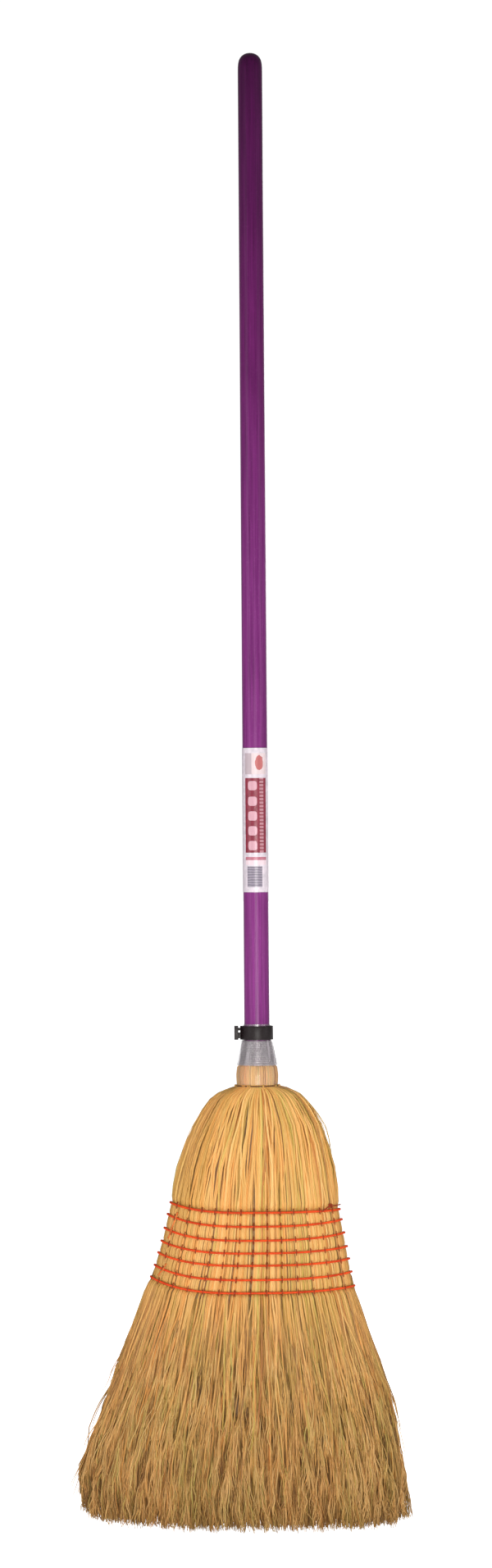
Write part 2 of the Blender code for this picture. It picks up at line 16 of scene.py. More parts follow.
import bmesh
import bpy
import numpy as np
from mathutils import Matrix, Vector

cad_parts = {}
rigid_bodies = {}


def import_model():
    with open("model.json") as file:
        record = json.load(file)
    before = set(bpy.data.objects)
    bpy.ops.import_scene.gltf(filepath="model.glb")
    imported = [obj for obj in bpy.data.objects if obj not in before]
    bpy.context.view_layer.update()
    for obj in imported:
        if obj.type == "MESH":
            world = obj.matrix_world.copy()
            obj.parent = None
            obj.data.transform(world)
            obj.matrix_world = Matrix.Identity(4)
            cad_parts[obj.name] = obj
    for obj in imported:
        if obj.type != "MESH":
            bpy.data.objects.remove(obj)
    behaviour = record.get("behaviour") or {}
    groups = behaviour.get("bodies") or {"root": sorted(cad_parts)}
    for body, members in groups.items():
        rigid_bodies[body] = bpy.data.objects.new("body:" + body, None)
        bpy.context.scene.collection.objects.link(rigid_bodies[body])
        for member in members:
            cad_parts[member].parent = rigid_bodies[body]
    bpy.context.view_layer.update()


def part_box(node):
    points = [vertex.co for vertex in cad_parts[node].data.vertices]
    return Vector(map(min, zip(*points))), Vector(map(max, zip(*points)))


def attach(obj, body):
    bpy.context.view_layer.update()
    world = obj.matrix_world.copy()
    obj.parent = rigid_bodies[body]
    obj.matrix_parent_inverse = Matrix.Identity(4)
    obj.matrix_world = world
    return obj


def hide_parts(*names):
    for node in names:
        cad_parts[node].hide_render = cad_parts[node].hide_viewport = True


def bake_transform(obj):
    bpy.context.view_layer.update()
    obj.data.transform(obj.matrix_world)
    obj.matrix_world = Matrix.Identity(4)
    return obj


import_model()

MM = 0.001
LOG = logging.getLogger("broom")
Colour = tuple[float, float, float]
Span = tuple[float, float]
Stops = tuple[tuple[float, Colour], ...]


# ------------------------------------------------------------------------------------------------
# Building materials
# ------------------------------------------------------------------------------------------------


class Recipe:
    """A material or node group being wired up."""

    def __init__(self, tree: bpy.types.NodeTree) -> None:
        """Starts wiring in a node tree.

        Args:
            tree: the tree that takes the nodes.
        """
        self.tree = tree

    def add(self, kind: str, **settings: object) -> bpy.types.Node:
        """Adds a node.

        Args:
            kind: the node's type name.
            settings: properties to set on it.

        Returns:
            The new node.
        """
        node = self.tree.nodes.new(kind)
        for name, value in settings.items():
            setattr(node, name, value)
        return node

    def feed(self, value: object, socket: bpy.types.NodeSocket) -> None:
        """Links an output to a socket, or sets the socket's own value."""
        if isinstance(value, bpy.types.NodeSocket):
            self.tree.links.new(value, socket)
        else:
            socket.default_value = value

    def math(self, operation: str, one: object, two: object = 0.0) -> bpy.types.NodeSocket:
        """A Math node.

        Args:
            operation: its operation.
            one: first input, an output or a number.
            two: second input.

        Returns:
            Its result.
        """
        node = self.add("ShaderNodeMath", operation=operation)
        self.feed(one, node.inputs[0])
        self.feed(two, node.inputs[1])
        return node.outputs[0]

    def blend(self, share: object, one: object, two: object, way: str = "MIX") -> bpy.types.NodeSocket:
        """Mixes two colours.

        Args:
            share: how much of the second.
            one: first colour, an output or four numbers.
            two: second colour.
            way: the blend type.

        Returns:
            The mixed colour.
        """
        node = self.add("ShaderNodeMix", data_type="RGBA", blend_type=way)
        self.feed(share, node.inputs["Factor"])
        self.feed(one, node.inputs[6])
        self.feed(two, node.inputs[7])
        return node.outputs[2]

    def ramp(self, value: object, stops: Sequence[tuple[float, Colour]]) -> bpy.types.NodeSocket:
        """A colour ramp.

        Args:
            value: what is looked up.
            stops: (position, colour) pairs from low to high.

        Returns:
            The colour.
        """
        node = self.add("ShaderNodeValToRGB")
        row = node.color_ramp.elements
        while len(row) < len(stops):
            row.new(0.5)
        for element, (position, colour) in zip(row, stops):
            element.position = position
            element.color = (*colour, 1.0)
        self.feed(value, node.inputs[0])
        return node.outputs[0]

    def place(self, stretch: Colour = (1.0, 1.0, 1.0)) -> bpy.types.NodeSocket:
        """Object coordinates, stretched.

        Args:
            stretch: scale along each axis.

        Returns:
            The vector.
        """
        where = self.add("ShaderNodeTexCoord")
        mapping = self.add("ShaderNodeMapping")
        mapping.inputs["Scale"].default_value = stretch
        self.tree.links.new(where.outputs["Object"], mapping.inputs["Vector"])
        return mapping.outputs[0]

    def noise(self, where: object, scale: float, detail: float = 3.0) -> bpy.types.NodeSocket:
        """Noise value at a place.

        Args:
            where: the vector.
            scale: how fine it is.
            detail: octaves.

        Returns:
            The value.
        """
        node = self.add("ShaderNodeTexNoise")
        self.feed(where, node.inputs["Vector"])
        node.inputs["Scale"].default_value = scale
        node.inputs["Detail"].default_value = detail
        return node.outputs[0]

    def attribute(self, name: str) -> bpy.types.NodeSocket:
        """The value of a mesh attribute."""
        return self.add("ShaderNodeAttribute", attribute_name=name).outputs["Fac"]

    def group(self, shared: bpy.types.NodeTree, **inputs: object) -> bpy.types.Node:
        """Places a shared effect.

        Args:
            shared: the node group.
            inputs: a value or output for each of its inputs.

        Returns:
            The group node.
        """
        node = self.add("ShaderNodeGroup", node_tree=shared)
        for name, value in inputs.items():
            self.feed(value, node.inputs[name.replace("_", " ").capitalize()])
        return node

    def bump(self, height: object, depth: float, strength: float = 1.0) -> bpy.types.NodeSocket:
        """A normal from a height.

        Args:
            height: the height value.
            depth: how far a height of one stands out, in metres.
            strength: how much it shows.

        Returns:
            The normal.
        """
        node = self.add("ShaderNodeBump")
        node.inputs["Distance"].default_value = depth
        node.inputs["Strength"].default_value = strength
        self.feed(height, node.inputs["Height"])
        return node.outputs[0]


def new_group(
    name: str, inputs: dict[str, str], outputs: dict[str, str]
) -> tuple[bpy.types.NodeTree, Recipe]:
    """An empty shader node group.

    Args:
        name: its name.
        inputs: socket type of each input.
        outputs: socket type of each output.

    Returns:
        The group, and a recipe to wire it.
    """
    group = bpy.data.node_groups.new(name, "ShaderNodeTree")
    for label, kind in inputs.items():
        group.interface.new_socket(label, in_out="INPUT", socket_type="NodeSocket" + kind)
    for label, kind in outputs.items():
        group.interface.new_socket(label, in_out="OUTPUT", socket_type="NodeSocket" + kind)
    return group, Recipe(group)


class SharedEffects:
    """Effects that more than one finish uses, each built once."""

    def __init__(self) -> None:
        """Builds the groups."""
        self.streaks = self._streaks()
        self.dust = self._dust()

    def _streaks(self) -> bpy.types.NodeTree:
        """Long fine streaks along Z, as in grain and dried stems."""
        group, make = new_group(
            "fibre_streaks",
            {"Across": "Float", "Along": "Float", "Contrast": "Float"},
            {"Value": "Float"},
        )
        given = make.add("NodeGroupInput")
        where = make.add("ShaderNodeTexCoord")
        apart = make.add("ShaderNodeSeparateXYZ")
        group.links.new(where.outputs["Object"], apart.inputs[0])
        joined = make.add("ShaderNodeCombineXYZ")
        group.links.new(make.math("MULTIPLY", apart.outputs[0], given.outputs[0]), joined.inputs[0])
        group.links.new(make.math("MULTIPLY", apart.outputs[1], given.outputs[0]), joined.inputs[1])
        group.links.new(make.math("MULTIPLY", apart.outputs[2], given.outputs[1]), joined.inputs[2])
        value = make.noise(joined.outputs[0], 1.0, 4.0)
        spread = make.math("MULTIPLY", make.math("SUBTRACT", value, 0.5), given.outputs[2])
        result = make.add("NodeGroupOutput")
        group.links.new(make.math("ADD", spread, 0.5), result.inputs[0])
        return group

    def _dust(self) -> bpy.types.NodeTree:
        """Small pale specks and smudges that a handled surface gathers."""
        group, make = new_group("dust", {"Scale": "Float", "Amount": "Float"}, {"Mask": "Float"})
        given = make.add("NodeGroupInput")
        where = make.add("ShaderNodeTexCoord")
        noise = make.add("ShaderNodeTexNoise")
        group.links.new(where.outputs["Object"], noise.inputs["Vector"])
        group.links.new(given.outputs[0], noise.inputs["Scale"])
        noise.inputs["Detail"].default_value = 6.0
        over = make.math("SUBTRACT", noise.outputs[0], 0.55)
        sharp = make.add("ShaderNodeClamp")
        group.links.new(make.math("MULTIPLY", over, 7.0), sharp.inputs[0])
        result = make.add("NodeGroupOutput")
        group.links.new(make.math("MULTIPLY", sharp.outputs[0], given.outputs[1]), result.inputs[0])
        return group


def start_material(name: str) -> tuple[bpy.types.Material, Recipe, bpy.types.Node]:
    """A new material with its Principled shader.

    Args:
        name: the material's name.

    Returns:
        The material, a recipe for its tree, and the shader node.
    """
    made = bpy.data.materials.new(name)
    made.use_nodes = True
    return made, Recipe(made.node_tree), made.node_tree.nodes["Principled BSDF"]


@dataclass(frozen=True)
class LacquerFinish:
    """Glossy paint over wood, with the grain just showing through."""

    deep: Colour = (0.130, 0.012, 0.118)
    bright: Colour = (0.260, 0.036, 0.235)
    roughness: float = 0.32
    share_per_metre: float = 0.7117
    # Painted shade: the colour darkens towards the top of the handle, standing in for the light that falls
    # off up the handle.
    painted_top_shade: Stops = (
        (0.64, (1.0, 1.0, 1.0)),
        (0.80, (0.70, 0.42, 0.66)),
        (1.0, (0.28, 0.05, 0.26)),
    )

    def make(self, shared: SharedEffects) -> bpy.types.Material:
        """Builds the material.

        Args:
            shared: the shared effects.

        Returns:
            The material.
        """
        made, mix, shader = start_material("purple_lacquer")
        grain = mix.group(shared.streaks, Across=900.0, Along=14.0, Contrast=1.6).outputs[0]
        cloud = mix.noise(mix.place((60.0, 60.0, 9.0)), 1.0, 3.0)
        dust = mix.group(shared.dust, Scale=420.0, Amount=0.10).outputs[0]
        tone = mix.math("ADD", mix.math("MULTIPLY", grain, 0.45), mix.math("MULTIPLY", cloud, 0.55))
        colour = mix.ramp(tone, ((0.30, self.deep), (0.72, self.bright)))
        worn = mix.blend(dust, colour, (0.36, 0.10, 0.33, 1.0))
        height = mix.add("ShaderNodeSeparateXYZ")
        mix.feed(mix.place((1.0, 1.0, self.share_per_metre)), height.inputs[0])
        # Painted shade: multiplies the paint darker by height towards the top.
        painted_top_shade = mix.ramp(height.outputs[2], self.painted_top_shade)
        mix.feed(mix.blend(1.0, worn, painted_top_shade, "MULTIPLY"), shader.inputs["Base Color"])
        rough = mix.math("ADD", mix.math("MULTIPLY", cloud, 0.16), self.roughness - 0.08)
        mix.feed(mix.math("ADD", rough, mix.math("MULTIPLY", dust, 0.6)), shader.inputs["Roughness"])
        mix.feed(mix.bump(grain, 0.00012, 0.5), shader.inputs["Normal"])
        shader.inputs["Specular IOR Level"].default_value = 0.20
        return made


@dataclass(frozen=True)
class NylonFinish:
    """Moulded black nylon with a faint grain."""

    colour: Colour = (0.010, 0.005, 0.006)

    def make(self, shared: SharedEffects) -> bpy.types.Material:
        """Builds the material.

        Args:
            shared: the shared effects.

        Returns:
            The material.
        """
        made, mix, shader = start_material("black_nylon")
        grain = mix.noise(mix.place(), 2600.0, 3.0)
        dust = mix.group(shared.dust, Scale=900.0, Amount=0.12).outputs[0]
        mix.feed(mix.blend(dust, (*self.colour, 1.0), (0.11, 0.10, 0.10, 1.0)), shader.inputs["Base Color"])
        mix.feed(mix.math("ADD", mix.math("MULTIPLY", grain, 0.2), 0.34), shader.inputs["Roughness"])
        mix.feed(mix.bump(grain, 0.00005, 0.6), shader.inputs["Normal"])
        shader.inputs["Specular IOR Level"].default_value = 0.28
        return made


@dataclass(frozen=True)
class ClearFilmFinish:
    """Clear vinyl film, slightly cloudy."""

    colour: Colour = (0.62, 0.57, 0.61)
    deep: Colour = (0.46, 0.41, 0.45)
    cover: float = 0.17
    cover_low: float = 0.10
    clear_below: float = 0.4425

    def make(self) -> bpy.types.Material:
        """Builds the material.

        Returns:
            The material.
        """
        made, mix, shader = start_material("clear_film")
        cloud = mix.noise(mix.place((160.0, 160.0, 30.0)), 1.0, 3.0)
        mix.feed(mix.ramp(cloud, ((0.3, self.deep), (0.7, self.colour))), shader.inputs["Base Color"])
        apart = mix.add("ShaderNodeSeparateXYZ")
        mix.feed(mix.place(), apart.inputs[0])
        above = mix.math("GREATER_THAN", apart.outputs[2], self.clear_below)
        cover = mix.math("ADD", mix.math("MULTIPLY", above, self.cover - self.cover_low), self.cover_low)
        # Painted reflection: vertical streaks where the film is drawn more opaque stand in for the streaky
        # reflections in the film over the wire; thick adds them to the film's own cloudiness.
        streak_noise = mix.noise(mix.place((210.0, 210.0, 9.0)), 1.0, 1.0)
        painted_streaks = mix.math("MAXIMUM", mix.math("MULTIPLY", mix.math("SUBTRACT", streak_noise, 0.54), 14.0), 0.0)
        painted_streaks = mix.math("MULTIPLY", mix.math("MINIMUM", painted_streaks, 2.2), above)
        thick = mix.math("ADD", mix.math("ADD", cloud, 0.4), painted_streaks)
        mix.feed(mix.math("MULTIPLY", thick, cover), shader.inputs["Alpha"])
        mix.feed(mix.math("ADD", mix.math("MULTIPLY", cloud, 0.15), 0.05), shader.inputs["Roughness"])
        shader.inputs["Specular IOR Level"].default_value = 0.8
        return made


@dataclass(frozen=True)
class ZincWireFinish:
    """Galvanised wire, dull and a little blotched."""

    colour: Colour = (0.62, 0.59, 0.61)

    def make(self, shared: SharedEffects) -> bpy.types.Material:
        """Builds the material.

        Args:
            shared: the shared effects.

        Returns:
            The material.
        """
        made, mix, shader = start_material("zinc_wire")
        blotch = mix.noise(mix.place(), 700.0, 4.0)
        dust = mix.group(shared.dust, Scale=1500.0, Amount=0.35).outputs[0]
        tone = mix.ramp(blotch, ((0.35, (0.36, 0.33, 0.35)), (0.65, self.colour)))
        mix.feed(mix.blend(dust, tone, (0.30, 0.27, 0.24, 1.0)), shader.inputs["Base Color"])
        mix.feed(mix.math("ADD", mix.math("MULTIPLY", blotch, 0.3), 0.22), shader.inputs["Roughness"])
        shader.inputs["Metallic"].default_value = 0.85
        mix.feed(mix.bump(blotch, 0.00004, 0.5), shader.inputs["Normal"])
        return made


class StrawPart(enum.Enum):
    """Which straw a finish is for."""

    STEM = "stem"
    FIBRE = "fibre"
    BED = "bed"


@dataclass(frozen=True)
class StrawFinish:
    """Dried broomcorn: each straw has its own tone, duller towards its tip."""

    part: StrawPart
    tones: Stops
    tip: Colour = (0.40, 0.225, 0.078)
    tip_share: float = 0.36
    warmth: Stops = (
        (0.36, (0.84, 0.90, 0.76)),
        (0.5, (1.0, 1.0, 1.0)),
        (0.66, (1.0, 0.90, 0.82)),
    )
    tints: Stops = (
        (0.04, (0.80, 0.98, 0.72)),
        (0.20, (1.0, 1.0, 1.0)),
        (0.80, (1.0, 1.0, 1.0)),
        (0.97, (1.0, 0.84, 0.68)),
    )
    roughness: float = 0.55

    def make(self, shared: SharedEffects) -> bpy.types.Material:
        """Builds the material.

        Args:
            shared: the shared effects.

        Returns:
            The material.
        """
        made, mix, shader = start_material("straw_" + self.part.value)
        streaks = mix.group(shared.streaks, Across=1500.0, Along=70.0, Contrast=1.5).outputs[0]
        patches = mix.noise(mix.place((45.0, 45.0, 12.0)), 1.0, 2.0)
        if self.part is StrawPart.BED:
            tone = mix.math("MULTIPLY", streaks, 1.0)
            run = 0.5
        else:
            # The tone attribute holds each straw's own tone together with painted shade where a straw lies
            # deep or between bunches, and painted light on top of a bunch.
            own = mix.math("MULTIPLY", mix.attribute("tone"), 0.62)
            tone = mix.math("ADD", own, mix.math("MULTIPLY", streaks, 0.38))
            run = mix.attribute("run")
        colour = mix.ramp(tone, self.tones)
        dull = mix.math("MULTIPLY", run, self.tip_share)
        colour = mix.blend(dull, colour, (*self.tip, 1.0))
        warm = mix.ramp(patches, self.warmth)
        colour = mix.blend(0.7, colour, warm, "MULTIPLY")
        own = mix.ramp(mix.attribute("tint"), self.tints)
        mix.feed(mix.blend(1.0, colour, own, "MULTIPLY"), shader.inputs["Base Color"])
        rough = mix.math("ADD", mix.math("MULTIPLY", streaks, 0.25), self.roughness - 0.1)
        mix.feed(rough, shader.inputs["Roughness"])
        mix.feed(mix.bump(streaks, 0.00025, 0.6), shader.inputs["Normal"])
        return made


@dataclass(frozen=True)
class TwineFinish:
    """Spun twine: the colour varies along each ply, with fine fibres."""

    name: str
    deep: Colour
    bright: Colour
    roughness: float = 0.62

    def make(self, shared: SharedEffects) -> bpy.types.Material:
        """Builds the material.

        Args:
            shared: the shared effects.

        Returns:
            The material.
        """
        made, mix, shader = start_material(self.name)
        hairs = mix.noise(mix.place(), 1900.0, 3.0)
        worn = mix.noise(mix.place((1.0, 1.0, 1.0)), 90.0, 3.0)
        tone = mix.math("ADD", mix.math("MULTIPLY", hairs, 0.5), mix.math("MULTIPLY", worn, 0.5))
        mix.feed(mix.ramp(tone, ((0.34, self.deep), (0.62, self.bright))), shader.inputs["Base Color"])
        dust = mix.group(shared.dust, Scale=300.0, Amount=0.3).outputs[0]
        mix.feed(mix.math("ADD", dust, self.roughness), shader.inputs["Roughness"])
        mix.feed(mix.bump(hairs, 0.0002, 0.7), shader.inputs["Normal"])
        shader.inputs["Specular IOR Level"].default_value = 0.3
        return made


@dataclass(frozen=True)
class LabelFinish:
    """A printed paper label: plain blocks, plain rounded squares and stripes, no lettering.

    Heights are in metres up the handle, widths in metres round it from the middle of the front.
    """

    patch: tuple[float, float] = (0.719, 0.739)
    block: tuple[float, float] = (0.6445, 0.7155)
    line: tuple[float, float] = (0.6375, 0.6405)
    bars: tuple[float, float] = (0.6120, 0.6315)
    squares: tuple[float, ...] = (0.7082, 0.6934, 0.6794, 0.6653, 0.6513)
    square_half: float = 0.0044
    square_at: float = -0.0028
    half_width: float = 0.0124
    blot: tuple[float, float, float, float] = (0.0040, 0.7300, 0.0042, 0.0075)
    paper: Colour = (0.80, 0.70, 0.78)
    red: Colour = (0.29, 0.022, 0.050)

    def _between(self, mix: Recipe, value: object, low: float, high: float) -> bpy.types.NodeSocket:
        """1 where a value lies between two limits.

        Args:
            mix: the recipe.
            value: the value.
            low: lower limit.
            high: upper limit.

        Returns:
            The mask.
        """
        node = mix.add("ShaderNodeMath", operation="COMPARE")
        mix.feed(value, node.inputs[0])
        node.inputs[1].default_value = (low + high) / 2
        node.inputs[2].default_value = (high - low) / 2
        return node.outputs[0]

    def _rounded_square(self, mix: Recipe, round_x: object, up: object, at: float) -> bpy.types.NodeSocket:
        """1 inside a rounded square centred at a height."""
        across = mix.math("DIVIDE", mix.math("SUBTRACT", round_x, self.square_at), self.square_half)
        above = mix.math("DIVIDE", mix.math("SUBTRACT", up, at), self.square_half)
        total = mix.math("ADD", mix.math("POWER", mix.math("ABSOLUTE", across), 4.0),
                         mix.math("POWER", mix.math("ABSOLUTE", above), 4.0))
        return mix.math("LESS_THAN", total, 1.0)

    def make(self) -> bpy.types.Material:
        """Builds the material.

        Returns:
            The material.
        """
        made, mix, shader = start_material("printed_label")
        where = mix.add("ShaderNodeTexCoord")
        apart = mix.add("ShaderNodeSeparateXYZ")
        mix.tree.links.new(where.outputs["Object"], apart.inputs[0])
        turn = mix.math("ARCTAN2", apart.outputs[0], mix.math("MULTIPLY", apart.outputs[1], -1.0))
        round_x = mix.math("MULTIPLY", turn, 0.0123)
        up = apart.outputs[2]
        soft = mix.noise(mix.place(), 260.0, 3.0)
        front = self._between(mix, round_x, -self.half_width * 0.86, self.half_width * 0.92)
        colour = mix.ramp(soft, ((0.3, (0.62, 0.56, 0.62)), (0.7, self.paper)))
        patch = mix.math("MULTIPLY", self._between(mix, up, *self.patch), front)
        left = mix.math("MULTIPLY", patch, self._between(mix, round_x, -0.0115, -0.0035))
        colour = mix.blend(mix.math("MULTIPLY", patch, 0.7), colour, (0.78, 0.62, 0.62, 1.0))
        colour = mix.blend(mix.math("MULTIPLY", left, 0.75), colour, (0.42, 0.33, 0.38, 1.0))
        wide = mix.math("DIVIDE", mix.math("SUBTRACT", round_x, self.blot[0]), self.blot[2])
        tall = mix.math("DIVIDE", mix.math("SUBTRACT", up, self.blot[1]), self.blot[3])
        near = mix.math("ADD", mix.math("POWER", mix.math("ABSOLUTE", wide), 2.0),
                        mix.math("POWER", mix.math("ABSOLUTE", tall), 2.0))
        ragged = mix.math("ADD", near, mix.math("MULTIPLY", mix.noise(mix.place(), 420.0, 2.0), 0.7))
        blot = mix.math("MULTIPLY", mix.math("LESS_THAN", ragged, 1.25), 0.85)
        colour = mix.blend(blot, colour, (0.48, 0.055, 0.050, 1.0))
        block = mix.math("MULTIPLY", self._between(mix, up, *self.block), front)
        shade = mix.ramp(soft, ((0.3, (0.20, 0.012, 0.034)), (0.7, self.red)))
        colour = mix.blend(block, colour, shade)
        stripe = mix.math("MULTIPLY", block, self._between(mix, round_x, 0.0040, 0.0082))
        ticks = mix.math("GREATER_THAN", mix.math("SINE", mix.math("MULTIPLY", up, 1900.0)), -0.45)
        marks = mix.math("MULTIPLY", mix.math("MULTIPLY", stripe, ticks), 0.5)
        colour = mix.blend(marks, colour, (0.74, 0.42, 0.48, 1.0))
        for at in self.squares:
            mask = self._rounded_square(mix, round_x, up, at)
            colour = mix.blend(mask, colour, (0.66, 0.36, 0.43, 1.0))
        line = mix.math("MULTIPLY", self._between(mix, up, *self.line), front)
        colour = mix.blend(mix.math("MULTIPLY", line, 0.85), colour, (0.45, 0.08, 0.14, 1.0))
        pale = mix.math("MULTIPLY", self._between(mix, up, 0.6330, 0.6372), front)
        colour = mix.blend(mix.math("MULTIPLY", pale, 0.8), colour, (0.86, 0.66, 0.72, 1.0))
        wave = mix.add("ShaderNodeTexWave", bands_direction="Z")
        mix.feed(mix.place(), wave.inputs["Vector"])
        wave.inputs["Scale"].default_value = 130.0
        wave.inputs["Distortion"].default_value = 2.0
        across_bars = self._between(mix, round_x, -0.0085, 0.0065)
        bars = mix.math("MULTIPLY", self._between(mix, up, *self.bars), across_bars)
        shade = mix.ramp(wave.outputs["Fac"], ((0.3, (0.13, 0.11, 0.16)), (0.7, (0.30, 0.26, 0.33))))
        colour = mix.blend(mix.math("MULTIPLY", bars, 0.9), colour, shade)
        mix.feed(colour, shader.inputs["Base Color"])
        mix.feed(mix.math("ADD", mix.math("MULTIPLY", soft, 0.15), 0.30), shader.inputs["Roughness"])
        mix.feed(mix.bump(soft, 0.00003, 0.4), shader.inputs["Normal"])
        shader.inputs["Coat Weight"].default_value = 0.15
        return made


# ------------------------------------------------------------------------------------------------
# Modelling helpers
# ------------------------------------------------------------------------------------------------


def start_edit(name: str) -> bpy.types.Object:
    """Names the active new object and opens it in edit mode, all selected.

    Args:
        name: the object's name.

    Returns:
        The object.
    """
    made = bpy.context.active_object
    made.name = made.data.name = name
    bpy.ops.object.mode_set(mode="EDIT")
    return made


def deselect() -> None:
    """Deselects every object."""
    for item in bpy.context.view_layer.objects:
        item.select_set(False)


def close_edit(piece: bpy.types.Object) -> bpy.types.Object:
    """Merges doubles, turns the faces outwards, leaves edit mode and puts the place into the mesh."""
    bpy.ops.mesh.select_all(action="SELECT")
    bpy.ops.mesh.remove_doubles(threshold=1e-6)
    bpy.ops.mesh.normals_make_consistent(inside=False)
    bpy.ops.object.mode_set(mode="OBJECT")
    deselect()
    piece.select_set(True)
    bpy.context.view_layer.objects.active = piece
    bpy.ops.object.transform_apply(location=True, rotation=True, scale=True)
    return piece


def apply_modifier(piece: bpy.types.Object, kind: str, **settings: object) -> None:
    """Adds a modifier and applies it.

    Args:
        piece: the object.
        kind: the modifier's type.
        settings: its properties.
    """
    step = piece.modifiers.new(kind.lower(), kind)
    for name, value in settings.items():
        setattr(step, name, value)
    deselect()
    piece.select_set(True)
    bpy.context.view_layer.objects.active = piece
    bpy.ops.object.modifier_apply(modifier=step.name)


def smooth(piece: bpy.types.Object, degrees: float = 35.0) -> None:
    """Shades a piece smooth except across sharp edges."""
    deselect()
    piece.select_set(True)
    bpy.context.view_layer.objects.active = piece
    bpy.ops.object.shade_smooth_by_angle(angle=math.radians(degrees))


def raise_rings(
    profile: Sequence[tuple[float, float]], closed: bool, sides: int, name: str
) -> bpy.types.Object:
    """Raises a round form from its lowest ring by extruding and resizing ring after ring.

    Args:
        profile: (height, radius) from the bottom up, in metres.
        closed: whether both ends are filled.
        sides: points in each ring.
        name: the object's name.

    Returns:
        The object.
    """
    deselect()
    height, radius = profile[0]
    fill = "NGON" if closed else "NOTHING"
    bpy.ops.mesh.primitive_circle_add(vertices=sides, radius=radius, fill_type=fill, location=(0, 0, height))
    piece = start_edit(name)
    bpy.ops.mesh.select_mode(type="VERT")
    bpy.ops.mesh.select_all(action="SELECT")
    for (low, before), (high, after) in zip(profile, profile[1:]):
        if closed:
            bpy.ops.mesh.extrude_region_move(TRANSFORM_OT_translate={"value": (0, 0, high - low)})
        else:
            bpy.ops.mesh.extrude_edges_move(TRANSFORM_OT_translate={"value": (0, 0, high - low)})
        scale = after / before
        bpy.ops.transform.resize(value=(scale, scale, 1.0), center_override=(0, 0, high))
    return close_edit(piece)


def curve_piece(
    name: str, path: np.ndarray, radius: float, sides: int, loop: bool = False
) -> bpy.types.Object:
    """A round wire or twine along a path, made as a bevelled curve and turned into a mesh.

    Args:
        name: the object's name.
        path: points in metres.
        radius: its radius.
        sides: extra facets round it, as a bevel resolution.
        loop: whether its ends meet.

    Returns:
        The object.
    """
    line = bpy.data.curves.new(name, "CURVE")
    line.dimensions = "3D"
    line.bevel_depth = radius
    line.bevel_resolution = sides
    line.use_fill_caps = not loop
    spline = line.splines.new("POLY")
    spline.points.add(len(path) - 1)
    flat = np.ones((len(path), 4))
    flat[:, :3] = path
    spline.points.foreach_set("co", flat.ravel())
    spline.use_cyclic_u = loop
    made = bpy.data.objects.new(name, line)
    bpy.context.scene.collection.objects.link(made)
    deselect()
    made.select_set(True)
    bpy.context.view_layer.objects.active = made
    bpy.ops.object.convert(target="MESH")
    made = bpy.context.active_object
    smooth(made, 60.0)
    return made


def join_pieces(name: str, pieces: Sequence[bpy.types.Object]) -> bpy.types.Object:
    """Joins several meshes into one object.

    Args:
        name: the joined object's name.
        pieces: the meshes.

    Returns:
        The joined object.
    """
    deselect()
    for piece in pieces:
        piece.select_set(True)
    bpy.context.view_layer.objects.active = pieces[0]
    bpy.ops.object.join()
    joined = bpy.context.active_object
    joined.name = joined.data.name = name
    return joined


def copy_of_node(node: str, name: str) -> bpy.types.Object:
    """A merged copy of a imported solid's mesh, with its flat faces joined.

    Args:
        node: the solid's name.
        name: the copy's name.

    Returns:
        The copy.
    """
    source = bpy.data.objects[frame_node(node)]
    made = bpy.data.objects.new(name, source.data.copy())
    made.data.name = name
    bpy.context.scene.collection.objects.link(made)
    work = bmesh.new()
    work.from_mesh(made.data)
    bmesh.ops.remove_doubles(work, verts=work.verts, dist=1e-6)
    bmesh.ops.dissolve_limit(work, angle_limit=math.radians(1.0), verts=work.verts, edges=work.edges)
    work.to_mesh(made.data)
    work.free()
    return made


def frame_node(node: str) -> str:
    """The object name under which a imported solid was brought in."""
    low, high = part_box(node)
    for item in bpy.data.objects:
        if item.type == "MESH" and (item.name == node or item.name.split(".")[0] == node):
            return item.name
    raise KeyError(f"no mesh for {node}, which spans {low} to {high}")


def dress(piece: bpy.types.Object, look: bpy.types.Material, body: str, *nodes: str) -> None:
    """Gives a piece its material and its body, hides the solids that it stands for and logs its faces.

    Args:
        piece: the object.
        look: its material.
        body: the body that it rides on.
        nodes: the solids that it replaces.
    """
    piece.data.materials.clear()
    piece.data.materials.append(look)
    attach(piece, body)
    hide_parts(*nodes)
    faces = len(piece.data.polygons)
    LOG.info("%s: %d faces, stands for %s", piece.name, faces, ", ".join(nodes) or "nothing")


# ------------------------------------------------------------------------------------------------
# The form of the straw head
# ------------------------------------------------------------------------------------------------


